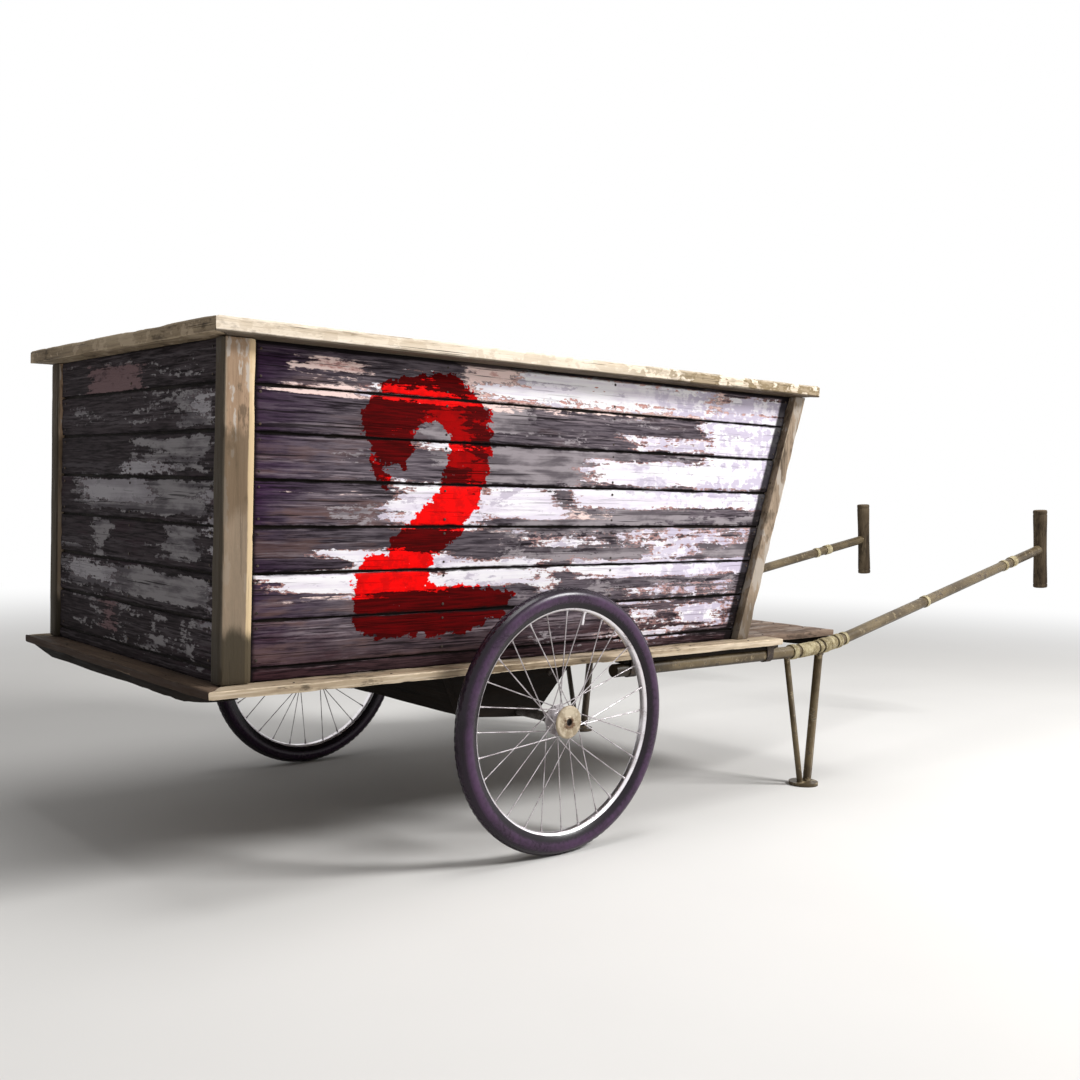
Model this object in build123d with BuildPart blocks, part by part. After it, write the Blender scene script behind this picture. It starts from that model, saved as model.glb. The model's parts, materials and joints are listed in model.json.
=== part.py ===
from build123d import *
import os
from math import cos, hypot, radians, sin, sqrt, tan

os.makedirs("parts", exist_ok=True)

# A two-wheeled plank handcart. Millimetres. X forward to the grips, Y left, Z up from the ground.
# Lengths called "ahead" or "behind" are measured from the axle along X.

# Wheels
wheel_radius = 330
tyre_section = 48
tyre_gap = 0.3
wheel_clearance = 44
rim_width = 30
rim_wall = 2.5
rim_crown_width = 18
rim_below_tread = 38
rim_depth = 19
rim_bed_depth = 10
spokes_per_flange = 14
spoke_diameter = 3.6
spoke_sides = 6
spoke_crossings = 2
spoke_seat = 0.6
spoke_end_gap = 0.3
spoke_rim_out = 3
hub_flange_radius = 38
hub_hole_radius = 34
hub_flange_thickness = 3.2
hub_barrel_radius = 17
outer_flange_out = 12
inner_flange_in = 24
hub_outer_end = 18
hub_inner_end = 34
cap_radius = 41
cap_thickness = 5
cap_hole_radius = 8
cap_bevel = 5
axle_diameter = 24
axle_running_gap = 0.05
axle_end_out = 15
axle_collar_radius = 21
axle_collar_length = 14
axle_collar_gap = 1
axle_chamfer = 2
cheek_inset = 171

# Base of the box
board_thickness = 20
floor_above_axle = 141
floor_board_count = 8
floor_board_gap = 3
floor_front_ahead = 1290
ledge_under_wall = 25
ledge_out_side = 48
ledge_out_rear = 46.5
ledge_out_front = 107

# Walls of the box
box_half_width = 505
box_rear_behind = 860.5
post_front_ahead = 831
wall_height = 728
front_lean = 236
post_depth = 44
post_chamfer = 2
rear_post_width = 75
front_post_width = 47
plank_thickness = 22
side_plank_recess = 22
end_plank_recess = 12
plank_pitch = 101
lowest_plank = 31
plank_gap = 4
plank_end_gap = 1.5
cleat_thickness = 21
cleat_width = 50
corner_cleat_width = 76

# Rim of the box
rim_rail_thickness = 34
rim_rail_width = 110
rim_rail_out_side = 45
rim_rail_out_rear = 40.5
rim_rail_out_front = 10
rim_rail_chamfer = 3

# Timbers below the floor
bearer_depth = 25
bearer_end_depth = 5
bearer_width = 60
bearer_taper_length = 140
bearer_end_inset = 13
deck_bearer_depth = 34
bearer_lashing_gap = 4
bolster_cheek_thickness = 40
bolster_board = 20
bolster_rear_behind = 176
bolster_rear_below_axle = 1
bolster_front_ahead = 51
bolster_front_below_axle = 22
bolster_rear_splay = 54
bolster_front_splay = 136
axle_slot = 32

# Shafts, grips and stands
shaft_radius = 18
shaft_wall = 3
shaft_inset = 37
shaft_rear_ahead = 268
bend_ahead = 1172
bend_radius = 1800
grip_ahead = 2729
grip_y = 417
grip_rise = 291
grip_radius = 27
grip_length = 312
grip_lean = 5
grip_edge = 4
spigot_radius = 12
spigot_length = 40
spigot_gap = 0.05
front_leg_radius = 13
rear_leg_radius = 9
front_leg_top_ahead = 1164
rear_leg_top_ahead = 1000
front_leg_foot_ahead = 1124
rear_leg_foot_ahead = 1092
foot_ahead = 1107.5
foot_radius = 45
foot_thickness = 10
strap_thickness = 3
strap_width = 28
strap_ear = 14
packing_thickness = 13
packing_width = 34
packing_rear_ahead = 290
packing_front_ahead = 930

# What follows from the sizes above
ledge_rear_behind = box_rear_behind + ledge_out_rear
grip_front = grip_ahead + (grip_length / 2 - grip_edge) * sin(radians(grip_lean)) \
    + grip_radius * cos(radians(grip_lean))
axle_x = (ledge_rear_behind - grip_front) / 2
rim_edge_radius = wheel_radius - rim_below_tread
rim_inner_radius = rim_edge_radius - rim_depth
floor_top = wheel_radius + floor_above_axle
floor_under = floor_top - board_thickness
rim_rail_under = floor_top + wall_height
floor_half_width = box_half_width - ledge_under_wall
ledge_half_width = box_half_width + ledge_out_side
ledge_width = ledge_half_width - floor_half_width
ledge_rear_x = axle_x - ledge_rear_behind
ledge_front_x = axle_x + post_front_ahead + ledge_out_front
half_track = ledge_half_width + wheel_clearance + tyre_section / 2
bolster_half_length = half_track - cheek_inset
shaft_y = ledge_half_width - shaft_inset
shaft_height = floor_under - packing_thickness - shaft_radius
grip_height = shaft_height + grip_rise
wall_inner_y = box_half_width - post_depth
side_plank_outer_y = box_half_width - side_plank_recess
rear_plank_outer_x = axle_x - box_rear_behind + end_plank_recess
lean_slope = front_lean / wall_height
lean_stretch = sqrt(1 + lean_slope ** 2)


def save(piece, name):
    piece.part.label = name
    export_step(piece.part, f"parts/{name}.step")


def front_line(height, back=0):
    """X of the leaning front of the box at a height, moved back square to that front."""
    return axle_x + post_front_ahead + lean_slope * (height - floor_top) - back * lean_stretch


# Plank rows, from the floor up: lower edge, upper edge
row_joints = [floor_top]
row_height = floor_top + lowest_plank
while row_height < rim_rail_under - plank_gap:
    row_joints.append(row_height)
    row_height += plank_pitch
row_joints.append(rim_rail_under)
plank_rows = []
for low, high in zip(row_joints[:-1], row_joints[1:]):
    top_gap = 0 if high == rim_rail_under else plank_gap
    plank_rows.append((low, high - top_gap))

# Box walls: side planks stop square at the rear post and slanting at the front post
side_plank_rear_x = axle_x - box_rear_behind + rear_post_width + plank_end_gap
with BuildPart() as planks_right:
    for low, high in plank_rows:
        with BuildSketch(Plane.XZ.offset(side_plank_outer_y - plank_thickness)):
            Polygon((side_plank_rear_x, low),
                    (front_line(low) - front_post_width - plank_end_gap, low),
                    (front_line(high) - front_post_width - plank_end_gap, high),
                    (side_plank_rear_x, high), align=None)
        extrude(amount=plank_thickness)
save(planks_right, "planks_right")

with BuildPart() as planks_left:
    mirror(planks_right.part, about=Plane.XZ)
save(planks_left, "planks_left")

with BuildPart() as planks_rear:
    for low, high in plank_rows:
        with BuildSketch(Plane.YZ.offset(rear_plank_outer_x)):
            with Locations((0, (low + high) / 2)):
                Rectangle(2 * (wall_inner_y - plank_end_gap), high - low)
        extrude(amount=plank_thickness)
save(planks_rear, "planks_rear")

with BuildPart() as planks_front:
    for low, high in plank_rows:
        with BuildSketch(Plane.XZ):
            Polygon((front_line(low, end_plank_recess), low),
                    (front_line(high, end_plank_recess), high),
                    (front_line(high, end_plank_recess + plank_thickness), high),
                    (front_line(low, end_plank_recess + plank_thickness), low), align=None)
        extrude(amount=wall_inner_y - plank_end_gap, both=True)
save(planks_front, "planks_front")

# Corner posts: the rear pair upright, the front pair leaning forward
with BuildPart() as post_rear_right:
    with BuildSketch(Plane.XY.offset(floor_top)):
        with Locations((axle_x - box_rear_behind + rear_post_width / 2, -box_half_width + post_depth / 2)):
            Rectangle(rear_post_width, post_depth)
    extrude(amount=wall_height)
    chamfer(post_rear_right.edges().filter_by(Axis.Z), post_chamfer)
save(post_rear_right, "post_rear_right")

with BuildPart() as post_rear_left:
    mirror(post_rear_right.part, about=Plane.XZ)
save(post_rear_left, "post_rear_left")

with BuildPart() as post_front_right:
    with BuildSketch(Plane.XZ.offset(wall_inner_y)):
        Polygon((front_line(floor_top), floor_top), (front_line(rim_rail_under), rim_rail_under),
                (front_line(rim_rail_under) - front_post_width, rim_rail_under),
                (front_line(floor_top) - front_post_width, floor_top), align=None)
    extrude(amount=post_depth)
save(post_front_right, "post_front_right")

with BuildPart() as post_front_left:
    mirror(post_front_right.part, about=Plane.XZ)
save(post_front_left, "post_front_left")

# Cleats inside the walls, which hold the planks together
rear_inner_x = rear_plank_outer_x + plank_thickness
cleat_reach = side_plank_rear_x + corner_cleat_width / 2
front_back = end_plank_recess + plank_thickness
straight_length = front_line(floor_top) - rear_inner_x
with BuildPart() as cleats_right:
    with BuildSketch(Plane.XZ.offset(wall_inner_y - cleat_thickness)):
        with Locations(((rear_inner_x + cleat_reach) / 2, (floor_top + rim_rail_under) / 2)):
            Rectangle(cleat_reach - rear_inner_x, wall_height)
        for share in (1 / 3, 2 / 3):
            with Locations((rear_inner_x + share * straight_length, (floor_top + rim_rail_under) / 2)):
                Rectangle(cleat_width, wall_height)
        Polygon((front_line(floor_top, front_back), floor_top),
                (front_line(rim_rail_under, front_back), rim_rail_under),
                (front_line(rim_rail_under, front_back + corner_cleat_width), rim_rail_under),
                (front_line(floor_top, front_back + corner_cleat_width), floor_top), align=None)
    extrude(amount=cleat_thickness)
save(cleats_right, "cleats_right")

with BuildPart() as cleats_left:
    mirror(cleats_right.part, about=Plane.XZ)
save(cleats_left, "cleats_left")

with BuildPart() as cleat_rear:
    with BuildSketch(Plane.YZ.offset(rear_inner_x)):
        with Locations((0, (floor_top + rim_rail_under) / 2)):
            Rectangle(cleat_width, wall_height)
    extrude(amount=cleat_thickness)
save(cleat_rear, "cleat_rear")

with BuildPart() as cleat_front:
    with BuildSketch(Plane.XZ):
        Polygon((front_line(floor_top, front_back), floor_top),
                (front_line(rim_rail_under, front_back), rim_rail_under),
                (front_line(rim_rail_under, front_back + cleat_thickness), rim_rail_under),
                (front_line(floor_top, front_back + cleat_thickness), floor_top), align=None)
    extrude(amount=cleat_width / 2, both=True)
save(cleat_front, "cleat_front")

# Rim rails round the open top, mitred at the corners
rail_rear_x = axle_x - box_rear_behind - rim_rail_out_rear
rail_front_x = front_line(rim_rail_under) + rim_rail_out_front
rim_rail_half_width = box_half_width + rim_rail_out_side
rail_inner_y = rim_rail_half_width - rim_rail_width
rim_rails = {
    "rim_right": ((rail_rear_x, -rim_rail_half_width), (rail_front_x, -rim_rail_half_width),
                  (rail_front_x - rim_rail_width, -rail_inner_y), (rail_rear_x + rim_rail_width, -rail_inner_y)),
    "rim_left": ((rail_rear_x, rim_rail_half_width), (rail_rear_x + rim_rail_width, rail_inner_y),
                 (rail_front_x - rim_rail_width, rail_inner_y), (rail_front_x, rim_rail_half_width)),
    "rim_rear": ((rail_rear_x, -rim_rail_half_width), (rail_rear_x + rim_rail_width, -rail_inner_y),
                 (rail_rear_x + rim_rail_width, rail_inner_y), (rail_rear_x, rim_rail_half_width)),
    "rim_front": ((rail_front_x, -rim_rail_half_width), (rail_front_x, rim_rail_half_width),
                  (rail_front_x - rim_rail_width, rail_inner_y), (rail_front_x - rim_rail_width, -rail_inner_y)),
}
for name, corners in rim_rails.items():
    with BuildPart() as rim_rail:
        with BuildSketch(Plane.XY.offset(rim_rail_under)):
            Polygon(*corners, align=None)
        extrude(amount=rim_rail_thickness)
        chamfer(rim_rail.faces().sort_by(Axis.Z)[-1].edges(), rim_rail_chamfer)
    save(rim_rail, name)

# Ledge boards that stand out round the foot of the box
ledge_boards = {
    "ledge_right": ((ledge_rear_x, -ledge_half_width), (ledge_front_x, -ledge_half_width),
                    (ledge_front_x, -floor_half_width), (ledge_rear_x + ledge_width, -floor_half_width)),
    "ledge_left": ((ledge_rear_x, ledge_half_width), (ledge_rear_x + ledge_width, floor_half_width),
                   (ledge_front_x, floor_half_width), (ledge_front_x, ledge_half_width)),
    "ledge_rear": ((ledge_rear_x, -ledge_half_width), (ledge_rear_x + ledge_width, -floor_half_width),
                   (ledge_rear_x + ledge_width, floor_half_width), (ledge_rear_x, ledge_half_width)),
}
for name, corners in ledge_boards.items():
    with BuildPart() as ledge_board:
        with BuildSketch(Plane.XY.offset(floor_under)):
            Polygon(*corners, align=None)
        extrude(amount=board_thickness)
    save(ledge_board, name)

# Floor boards, which run on forward of the box as a deck between the shafts
floor_rear_x = ledge_rear_x + ledge_width
floor_front_x = axle_x + floor_front_ahead
floor_pitch = 2 * floor_half_width / floor_board_count
with BuildPart() as floor_boards:
    with BuildSketch(Plane.XY.offset(floor_under)):
        with Locations(((floor_rear_x + floor_front_x) / 2, 0)):
            with GridLocations(0, floor_pitch, 1, floor_board_count):
                Rectangle(floor_front_x - floor_rear_x, floor_pitch - floor_board_gap)
    extrude(amount=board_thickness)
save(floor_boards, "floor_boards")

# Shafts: steel tubes, level under the ledge, then bent up and slightly inwards to the grips
bend_point = Vector(axle_x + bend_ahead, -shaft_y, shaft_height)
grip_point = Vector(axle_x + grip_ahead, -grip_y, grip_height)
shaft_rear_point = Vector(axle_x + shaft_rear_ahead, -shaft_y, shaft_height)
shaft_direction = (grip_point - bend_point).normalized()
bend_half_angle = radians(shaft_direction.get_angle(Vector(1, 0, 0))) / 2
bend_tangent = bend_radius * tan(bend_half_angle)
grip_plane = Plane(origin=grip_point, x_dir=Vector(0, 1, 0),
                   z_dir=Vector(-sin(radians(grip_lean)), 0, cos(radians(grip_lean))))
with BuildLine() as shaft_line:
    FilletPolyline(shaft_rear_point, bend_point, grip_point, radius=bend_radius)
shaft_path = shaft_line.wires()[0]
shaft_rear_plane = Plane(origin=shaft_rear_point, z_dir=Vector(1, 0, 0))
spigot_plane = Plane(origin=grip_point, z_dir=shaft_direction)

with BuildPart() as shaft_envelope:
    with BuildSketch(shaft_rear_plane):
        Circle(shaft_radius)
    sweep(path=shaft_path)

with BuildPart() as shaft_right:
    with BuildSketch(shaft_rear_plane):
        Circle(shaft_radius)
        Circle(shaft_radius - shaft_wall, mode=Mode.SUBTRACT)
    sweep(path=shaft_path)
    with BuildSketch(shaft_rear_plane):
        Circle(shaft_radius)
    extrude(amount=shaft_wall)
    with BuildSketch(spigot_plane.offset(-spigot_length)):
        Circle(shaft_radius - shaft_wall)
    extrude(amount=spigot_length)
    with BuildSketch(grip_plane.offset(-grip_length / 2)):
        Circle(grip_radius + spigot_gap)
    extrude(amount=grip_length, mode=Mode.SUBTRACT)
    with BuildSketch(spigot_plane.offset(-spigot_length)):
        Circle(spigot_radius)
    extrude(amount=spigot_length)
save(shaft_right, "shaft_right")

with BuildPart() as shaft_left:
    mirror(shaft_right.part, about=Plane.XZ)
save(shaft_left, "shaft_left")

# Grips: turned wooden bars set across the shaft ends
with BuildPart() as grip_right:
    with BuildSketch(grip_plane.offset(-grip_length / 2)):
        Circle(grip_radius)
    extrude(amount=grip_length)
    chamfer(grip_right.edges().filter_by(GeomType.CIRCLE), grip_edge)
    with BuildSketch(spigot_plane.offset(-spigot_length)):
        Circle(spigot_radius + spigot_gap)
    extrude(amount=spigot_length + spigot_gap, mode=Mode.SUBTRACT)
save(grip_right, "grip_right")

with BuildPart() as grip_left:
    mirror(grip_right.part, about=Plane.XZ)
save(grip_left, "grip_left")

# Bindings round each shaft: distance ahead of the axle, length, outer radius
bindings = (
    (1030, 16, 23),
    (1100, 78, 21.5),
    (1191, 18, 23.5),
    (1815, 14, 20.5),
    (2410, 14, 20.5),
)
binding_gap = 0.45
shaft_length = shaft_path.length
with BuildPart() as bindings_right:
    for ahead, length, radius in bindings:
        share = (ahead - shaft_rear_ahead) / (grip_ahead - shaft_rear_ahead)
        for _ in range(4):
            miss = axle_x + ahead - shaft_path.position_at(share).X
            share += miss / shaft_length
        middle = Plane(origin=shaft_path.position_at(share), z_dir=shaft_path.tangent_at(share))
        with BuildSketch(middle.offset(-length / 2)):
            Circle(radius)
            Circle(shaft_radius + binding_gap, mode=Mode.SUBTRACT)
        extrude(amount=length)
save(bindings_right, "bindings_right")

with BuildPart() as bindings_left:
    mirror(bindings_right.part, about=Plane.XZ)
save(bindings_left, "bindings_left")

# Straps that hang the level part of each shaft under the ledge, with a packing lath between the two
shaft_top = shaft_height + shaft_radius
strap_places = (330, 900)
with BuildPart() as blocks_right:
    with BuildSketch(Plane.XY.offset(shaft_top)):
        with Locations((axle_x + (packing_rear_ahead + packing_front_ahead) / 2, -shaft_y)):
            Rectangle(packing_front_ahead - packing_rear_ahead, packing_width)
    extrude(amount=floor_under - shaft_top)
save(blocks_right, "blocks_right")

with BuildPart() as blocks_left:
    mirror(blocks_right.part, about=Plane.XZ)
save(blocks_left, "blocks_left")

with BuildPart() as straps_right:
    for ahead in strap_places:
        with BuildSketch(Plane.YZ.offset(axle_x + ahead - strap_width / 2)):
            with Locations((-shaft_y, shaft_height)):
                Circle(shaft_radius + strap_thickness)
            with Locations((-shaft_y, (shaft_height + floor_under) / 2)):
                Rectangle(2 * (shaft_radius + strap_thickness), floor_under - shaft_height)
            with Locations((-shaft_y, floor_under - strap_thickness / 2)):
                Rectangle(2 * (shaft_radius + strap_ear), strap_thickness)
            with Locations((-shaft_y, shaft_height)):
                Circle(shaft_radius, mode=Mode.SUBTRACT)
            with Locations((-shaft_y, (shaft_height + floor_under) / 2)):
                Rectangle(2 * shaft_radius, floor_under - shaft_height, mode=Mode.SUBTRACT)
        extrude(amount=strap_width)
save(straps_right, "straps_right")

with BuildPart() as straps_left:
    mirror(straps_right.part, about=Plane.XZ)
save(straps_left, "straps_left")

# Stands: a stout front leg and a thin rear leg, welded to one round foot
legs = (
    (front_leg_top_ahead, front_leg_foot_ahead, front_leg_radius),
    (rear_leg_top_ahead, rear_leg_foot_ahead, rear_leg_radius),
)
with BuildPart() as stand_right:
    for top_ahead, foot_leg_ahead, radius in legs:
        top = Vector(axle_x + top_ahead, -shaft_y, shaft_height)
        bottom = Vector(axle_x + foot_leg_ahead, -shaft_y, 0)
        with BuildSketch(Plane(origin=bottom, z_dir=top - bottom)):
            Circle(radius)
        extrude(amount=(top - bottom).length)
    split(bisect_by=Plane.XY, keep=Keep.TOP)
    with BuildSketch():
        with Locations((axle_x + foot_ahead, -shaft_y)):
            Circle(foot_radius)
    extrude(amount=foot_thickness)
    add(shaft_envelope.part, mode=Mode.SUBTRACT)
save(stand_right, "stand_right")

with BuildPart() as stand_left:
    mirror(stand_right.part, about=Plane.XZ)
save(stand_left, "stand_left")

# Bearers across the cart under the floor; their ends taper up to the ledge
bearer_places = (-860, -530)
bearer_half_length = ledge_half_width - bearer_end_inset
bearer_taper_start = bearer_half_length - bearer_taper_length
with BuildPart() as bearers_rear:
    for ahead in bearer_places:
        with BuildSketch(Plane.YZ.offset(axle_x + ahead)):
            Polygon((-bearer_half_length, floor_under), (-bearer_half_length, floor_under - bearer_end_depth),
                    (-bearer_taper_start, floor_under - bearer_depth),
                    (bearer_taper_start, floor_under - bearer_depth),
                    (bearer_half_length, floor_under - bearer_end_depth), (bearer_half_length, floor_under),
                    align=None)
        extrude(amount=bearer_width / 2, both=True)
save(bearers_rear, "bearers_rear")


def shaft_inner_y(ahead):
    """Half width between the shafts, at a distance ahead of the axle."""
    turned = max(0, ahead - bend_ahead) * (shaft_y - grip_y) / (grip_ahead - bend_ahead)
    return shaft_y - turned - shaft_radius


# Bearers between the shafts: distance ahead of the axle
front_bearers = (430, 720, 960, 1250)
with BuildPart() as bearers_front:
    for ahead in front_bearers:
        with BuildSketch(Plane.XY.offset(floor_under)):
            with Locations((axle_x + ahead, 0)):
                Rectangle(bearer_width, 2 * (shaft_inner_y(ahead + bearer_width / 2) - bearer_lashing_gap))
        extrude(amount=-deck_bearer_depth)
save(bearers_front, "bearers_front")

# Bolster: a trough of boards between two cheeks, which carries the axle
bolster_outline = (
    (-bolster_rear_behind - bolster_rear_splay, floor_under),
    (-bolster_rear_behind, wheel_radius - bolster_rear_below_axle),
    (bolster_front_ahead, wheel_radius - bolster_front_below_axle),
    (bolster_front_ahead + bolster_front_splay, floor_under),
)
cheek_inner_y = bolster_half_length - bolster_cheek_thickness
with BuildPart() as bolster_cheek_right:
    with BuildSketch(Plane.XZ.offset(cheek_inner_y)):
        with Locations((axle_x, 0)):
            Polygon(*bolster_outline, align=None)
            with Locations((0, wheel_radius)):
                Circle(axle_diameter / 2 + axle_running_gap, mode=Mode.SUBTRACT)
    extrude(amount=bolster_cheek_thickness)
save(bolster_cheek_right, "bolster_cheek_right")

with BuildPart() as bolster_cheek_left:
    mirror(bolster_cheek_right.part, about=Plane.XZ)
save(bolster_cheek_left, "bolster_cheek_left")

rear_top, rear_low, front_low, front_top = bolster_outline
rear_length = hypot(rear_top[0] - rear_low[0], rear_top[1] - rear_low[1])
front_length = hypot(front_top[0] - front_low[0], front_top[1] - front_low[1])
rear_inset = bolster_board * rear_length / (rear_top[1] - rear_low[1])
front_inset = bolster_board * front_length / (front_top[1] - front_low[1])
bottom_slope = (front_low[1] - rear_low[1]) / (front_low[0] - rear_low[0])
bottom_front_x = -axle_slot / 2


def bottom_line(ahead):
    return rear_low[1] + bottom_slope * (ahead - rear_low[0])


bolster_boards = {
    "bolster_board_rear": (rear_top, rear_low, (rear_low[0] + rear_inset, bottom_line(rear_low[0] + rear_inset)),
                           (rear_top[0] + rear_inset, rear_top[1])),
    "bolster_board_bottom": ((rear_low[0] + rear_inset, bottom_line(rear_low[0] + rear_inset)),
                             (bottom_front_x, bottom_line(bottom_front_x)),
                             (bottom_front_x, bottom_line(bottom_front_x) + bolster_board),
                             (rear_low[0] + rear_inset,
                              bottom_line(rear_low[0] + rear_inset) + bolster_board)),
    "bolster_board_front": (front_low, front_top, (front_top[0] - front_inset, front_top[1]),
                            (front_low[0] - front_inset, bottom_line(front_low[0] - front_inset))),
}
for name, outline in bolster_boards.items():
    with BuildPart() as bolster_part:
        with BuildSketch(Plane.XZ):
            with Locations((axle_x, 0)):
                Polygon(*outline, align=None)
        extrude(amount=cheek_inner_y, both=True)
    save(bolster_part, name)

# Axle: one bar through both cheeks, with a collar inside each hub
collar_inner_y = half_track - hub_inner_end - axle_collar_gap - axle_collar_length
with BuildPart() as axle:
    with BuildSketch(Plane.XZ):
        with Locations((axle_x, wheel_radius)):
            Circle(axle_diameter / 2)
    extrude(amount=half_track + axle_end_out, both=True)
    for plane_offset in (collar_inner_y, -collar_inner_y - axle_collar_length):
        with BuildSketch(Plane.XZ.offset(plane_offset)):
            with Locations((axle_x, wheel_radius)):
                Circle(axle_collar_radius)
        extrude(amount=axle_collar_length)
    for end_face in (axle.faces().sort_by(Axis.Y)[-1], axle.faces().sort_by(Axis.Y)[0]):
        chamfer(end_face.edges(), axle_chamfer)
save(axle, "axle")

# Wheels. Profiles are drawn as (radius, distance outwards from the wheel's middle plane).
wheel_axis = Axis((axle_x, 0, wheel_radius), (0, 1, 0))
profile_plane = Plane(origin=(axle_x, 0, wheel_radius), x_dir=(0, 0, 1), z_dir=(-1, 0, 0))
tyre_centre = wheel_radius - tyre_section / 2
bore_radius = axle_diameter / 2 + axle_running_gap
tyre_seat = rim_edge_radius + tyre_gap
bead_half = rim_width / 2 - rim_wall - tyre_gap
rim_bed = rim_edge_radius - rim_bed_depth
bead_radius = rim_bed + tyre_gap
hole_step = 360 / spokes_per_flange
tyre_turns = (-90, -45, 0, 45, 90)


def wheel_point(radius, angle, out, side):
    turn = radians(angle)
    return Vector(axle_x + radius * sin(turn), side * (half_track + out), wheel_radius + radius * cos(turn))


# Each wheel: tyre, channel rim, cap and a hub whose spokes leave each flange on alternate sides
for side_name, side in (("left", 1), ("right", -1)):

    def at(radius, out):
        return (radius, side * (half_track + out))

    with BuildPart() as tyre:
        with BuildSketch(profile_plane):
            Polygon(*(at(tyre_centre + tyre_section / 2 * cos(radians(turn)),
                         tyre_section / 2 * sin(radians(turn))) for turn in tyre_turns),
                    at(tyre_seat, bead_half), at(bead_radius, bead_half),
                    at(bead_radius, -bead_half), at(tyre_seat, -bead_half), align=None)
        revolve(axis=wheel_axis)
    save(tyre, f"tyre_{side_name}")

    with BuildPart() as rim:
        with BuildSketch(profile_plane):
            Polygon(at(rim_edge_radius, rim_width / 2), at(rim_edge_radius, rim_width / 2 - rim_wall),
                    at(rim_bed, rim_width / 2 - rim_wall), at(rim_bed, -rim_width / 2 + rim_wall),
                    at(rim_edge_radius, -rim_width / 2 + rim_wall), at(rim_edge_radius, -rim_width / 2),
                    at(rim_inner_radius, -rim_crown_width / 2), at(rim_inner_radius, rim_crown_width / 2),
                    align=None)
        revolve(axis=wheel_axis)
    save(rim, f"rim_wheel_{side_name}")

    with BuildPart() as hub_cap:
        with BuildSketch(profile_plane):
            Polygon(at(cap_radius, hub_outer_end), at(cap_hole_radius, hub_outer_end),
                    at(cap_hole_radius, hub_outer_end + cap_thickness),
                    at(cap_radius - cap_bevel, hub_outer_end + cap_thickness), align=None)
        revolve(axis=wheel_axis)
    save(hub_cap, f"hub_cap_{side_name}")

    with BuildPart() as hub:
        with BuildSketch(profile_plane):
            with Locations(at((bore_radius + hub_barrel_radius) / 2, (hub_outer_end - hub_inner_end) / 2)):
                Rectangle(hub_barrel_radius - bore_radius, hub_outer_end + hub_inner_end)
            for out in (outer_flange_out, -inner_flange_in):
                with Locations(at((hub_barrel_radius + hub_flange_radius) / 2, out)):
                    Rectangle(hub_flange_radius - hub_barrel_radius, hub_flange_thickness)
        revolve(axis=wheel_axis)
        for flange_out, rim_out, first_hole in ((outer_flange_out, spoke_rim_out, 0),
                                                (-inner_flange_in, -spoke_rim_out, 0.5)):
            for hole in range(spokes_per_flange):
                lead = 1 if hole % 2 == 0 else -1
                hub_angle = (hole + first_hole) * hole_step
                rim_angle = hub_angle + lead * spoke_crossings * hole_step
                beside = lead * ((hub_flange_thickness + spoke_diameter) / 2 - spoke_seat)
                start = wheel_point(hub_hole_radius, hub_angle, flange_out + beside, side)
                end = wheel_point(rim_inner_radius - spoke_end_gap, rim_angle, rim_out, side)
                with BuildSketch(Plane(origin=start, z_dir=end - start)):
                    RegularPolygon(spoke_diameter / 2, spoke_sides)
                extrude(amount=(end - start).length)
    save(hub, f"hub_{side_name}")
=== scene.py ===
import json
import math
import random

import bmesh
import bpy
import numpy as np
from mathutils import Matrix, Vector, noise


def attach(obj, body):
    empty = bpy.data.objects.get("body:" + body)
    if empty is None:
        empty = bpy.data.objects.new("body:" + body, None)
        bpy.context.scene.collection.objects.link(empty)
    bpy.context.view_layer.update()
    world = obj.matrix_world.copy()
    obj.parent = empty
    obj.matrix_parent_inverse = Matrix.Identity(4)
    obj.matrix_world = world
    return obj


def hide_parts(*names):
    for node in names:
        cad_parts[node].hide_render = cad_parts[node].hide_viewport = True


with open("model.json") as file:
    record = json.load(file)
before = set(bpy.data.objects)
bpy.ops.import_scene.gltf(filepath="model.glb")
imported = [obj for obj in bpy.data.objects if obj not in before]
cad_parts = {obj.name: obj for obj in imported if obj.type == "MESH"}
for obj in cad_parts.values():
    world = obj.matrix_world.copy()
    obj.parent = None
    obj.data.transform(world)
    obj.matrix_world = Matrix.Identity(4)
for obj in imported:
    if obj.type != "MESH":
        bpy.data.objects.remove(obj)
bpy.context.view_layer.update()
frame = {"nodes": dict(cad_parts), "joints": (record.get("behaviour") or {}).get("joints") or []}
nodes = frame["nodes"]
hubPlace = {joint["child"]: Vector(joint["pos_m"]) for joint in frame["joints"]}
axleX = hubPlace["wheel_right"].x
print("frame loaded:", len(nodes), "nodes")


def tone(red, green, blue):
    # 0-255 screen values to the linear values that a shader takes
    parts = [part / 255 for part in (red, green, blue)]
    return (*[part / 12.92 if part <= 0.04045 else ((part + 0.055) / 1.055) ** 2.4 for part in parts], 1.0)


# the photograph's view and a pale studio round it
cameraView = {
    "place": (-2.95238, -2.8697, 0.9001),
    "yaw": 40.64,      # degrees from +Y towards +X
    "pitch": 2.38,     # degrees below level
    "roll": 1.49,
    "lens": 41.19,
    "sensor": 36.0,
}
studio = {
    "aim": (-0.9, -0.2, 0.6),
    "keyPlace": (2.9, -4.3, 4.3), "keySize": 2.0, "keyPower": 460,
    "topPlace": (-0.9, -0.6, 5.2), "topSize": 2.6, "topPower": 110,
    "skyLevel": 0.27,
    "floorTone": tone(222, 220, 217), "floorMottle": tone(214, 212, 209), "floorReach": 60,
    "fadeFrom": 2.6, "fadeTo": 7.5,    # metres from the middle of the cart
}


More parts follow.
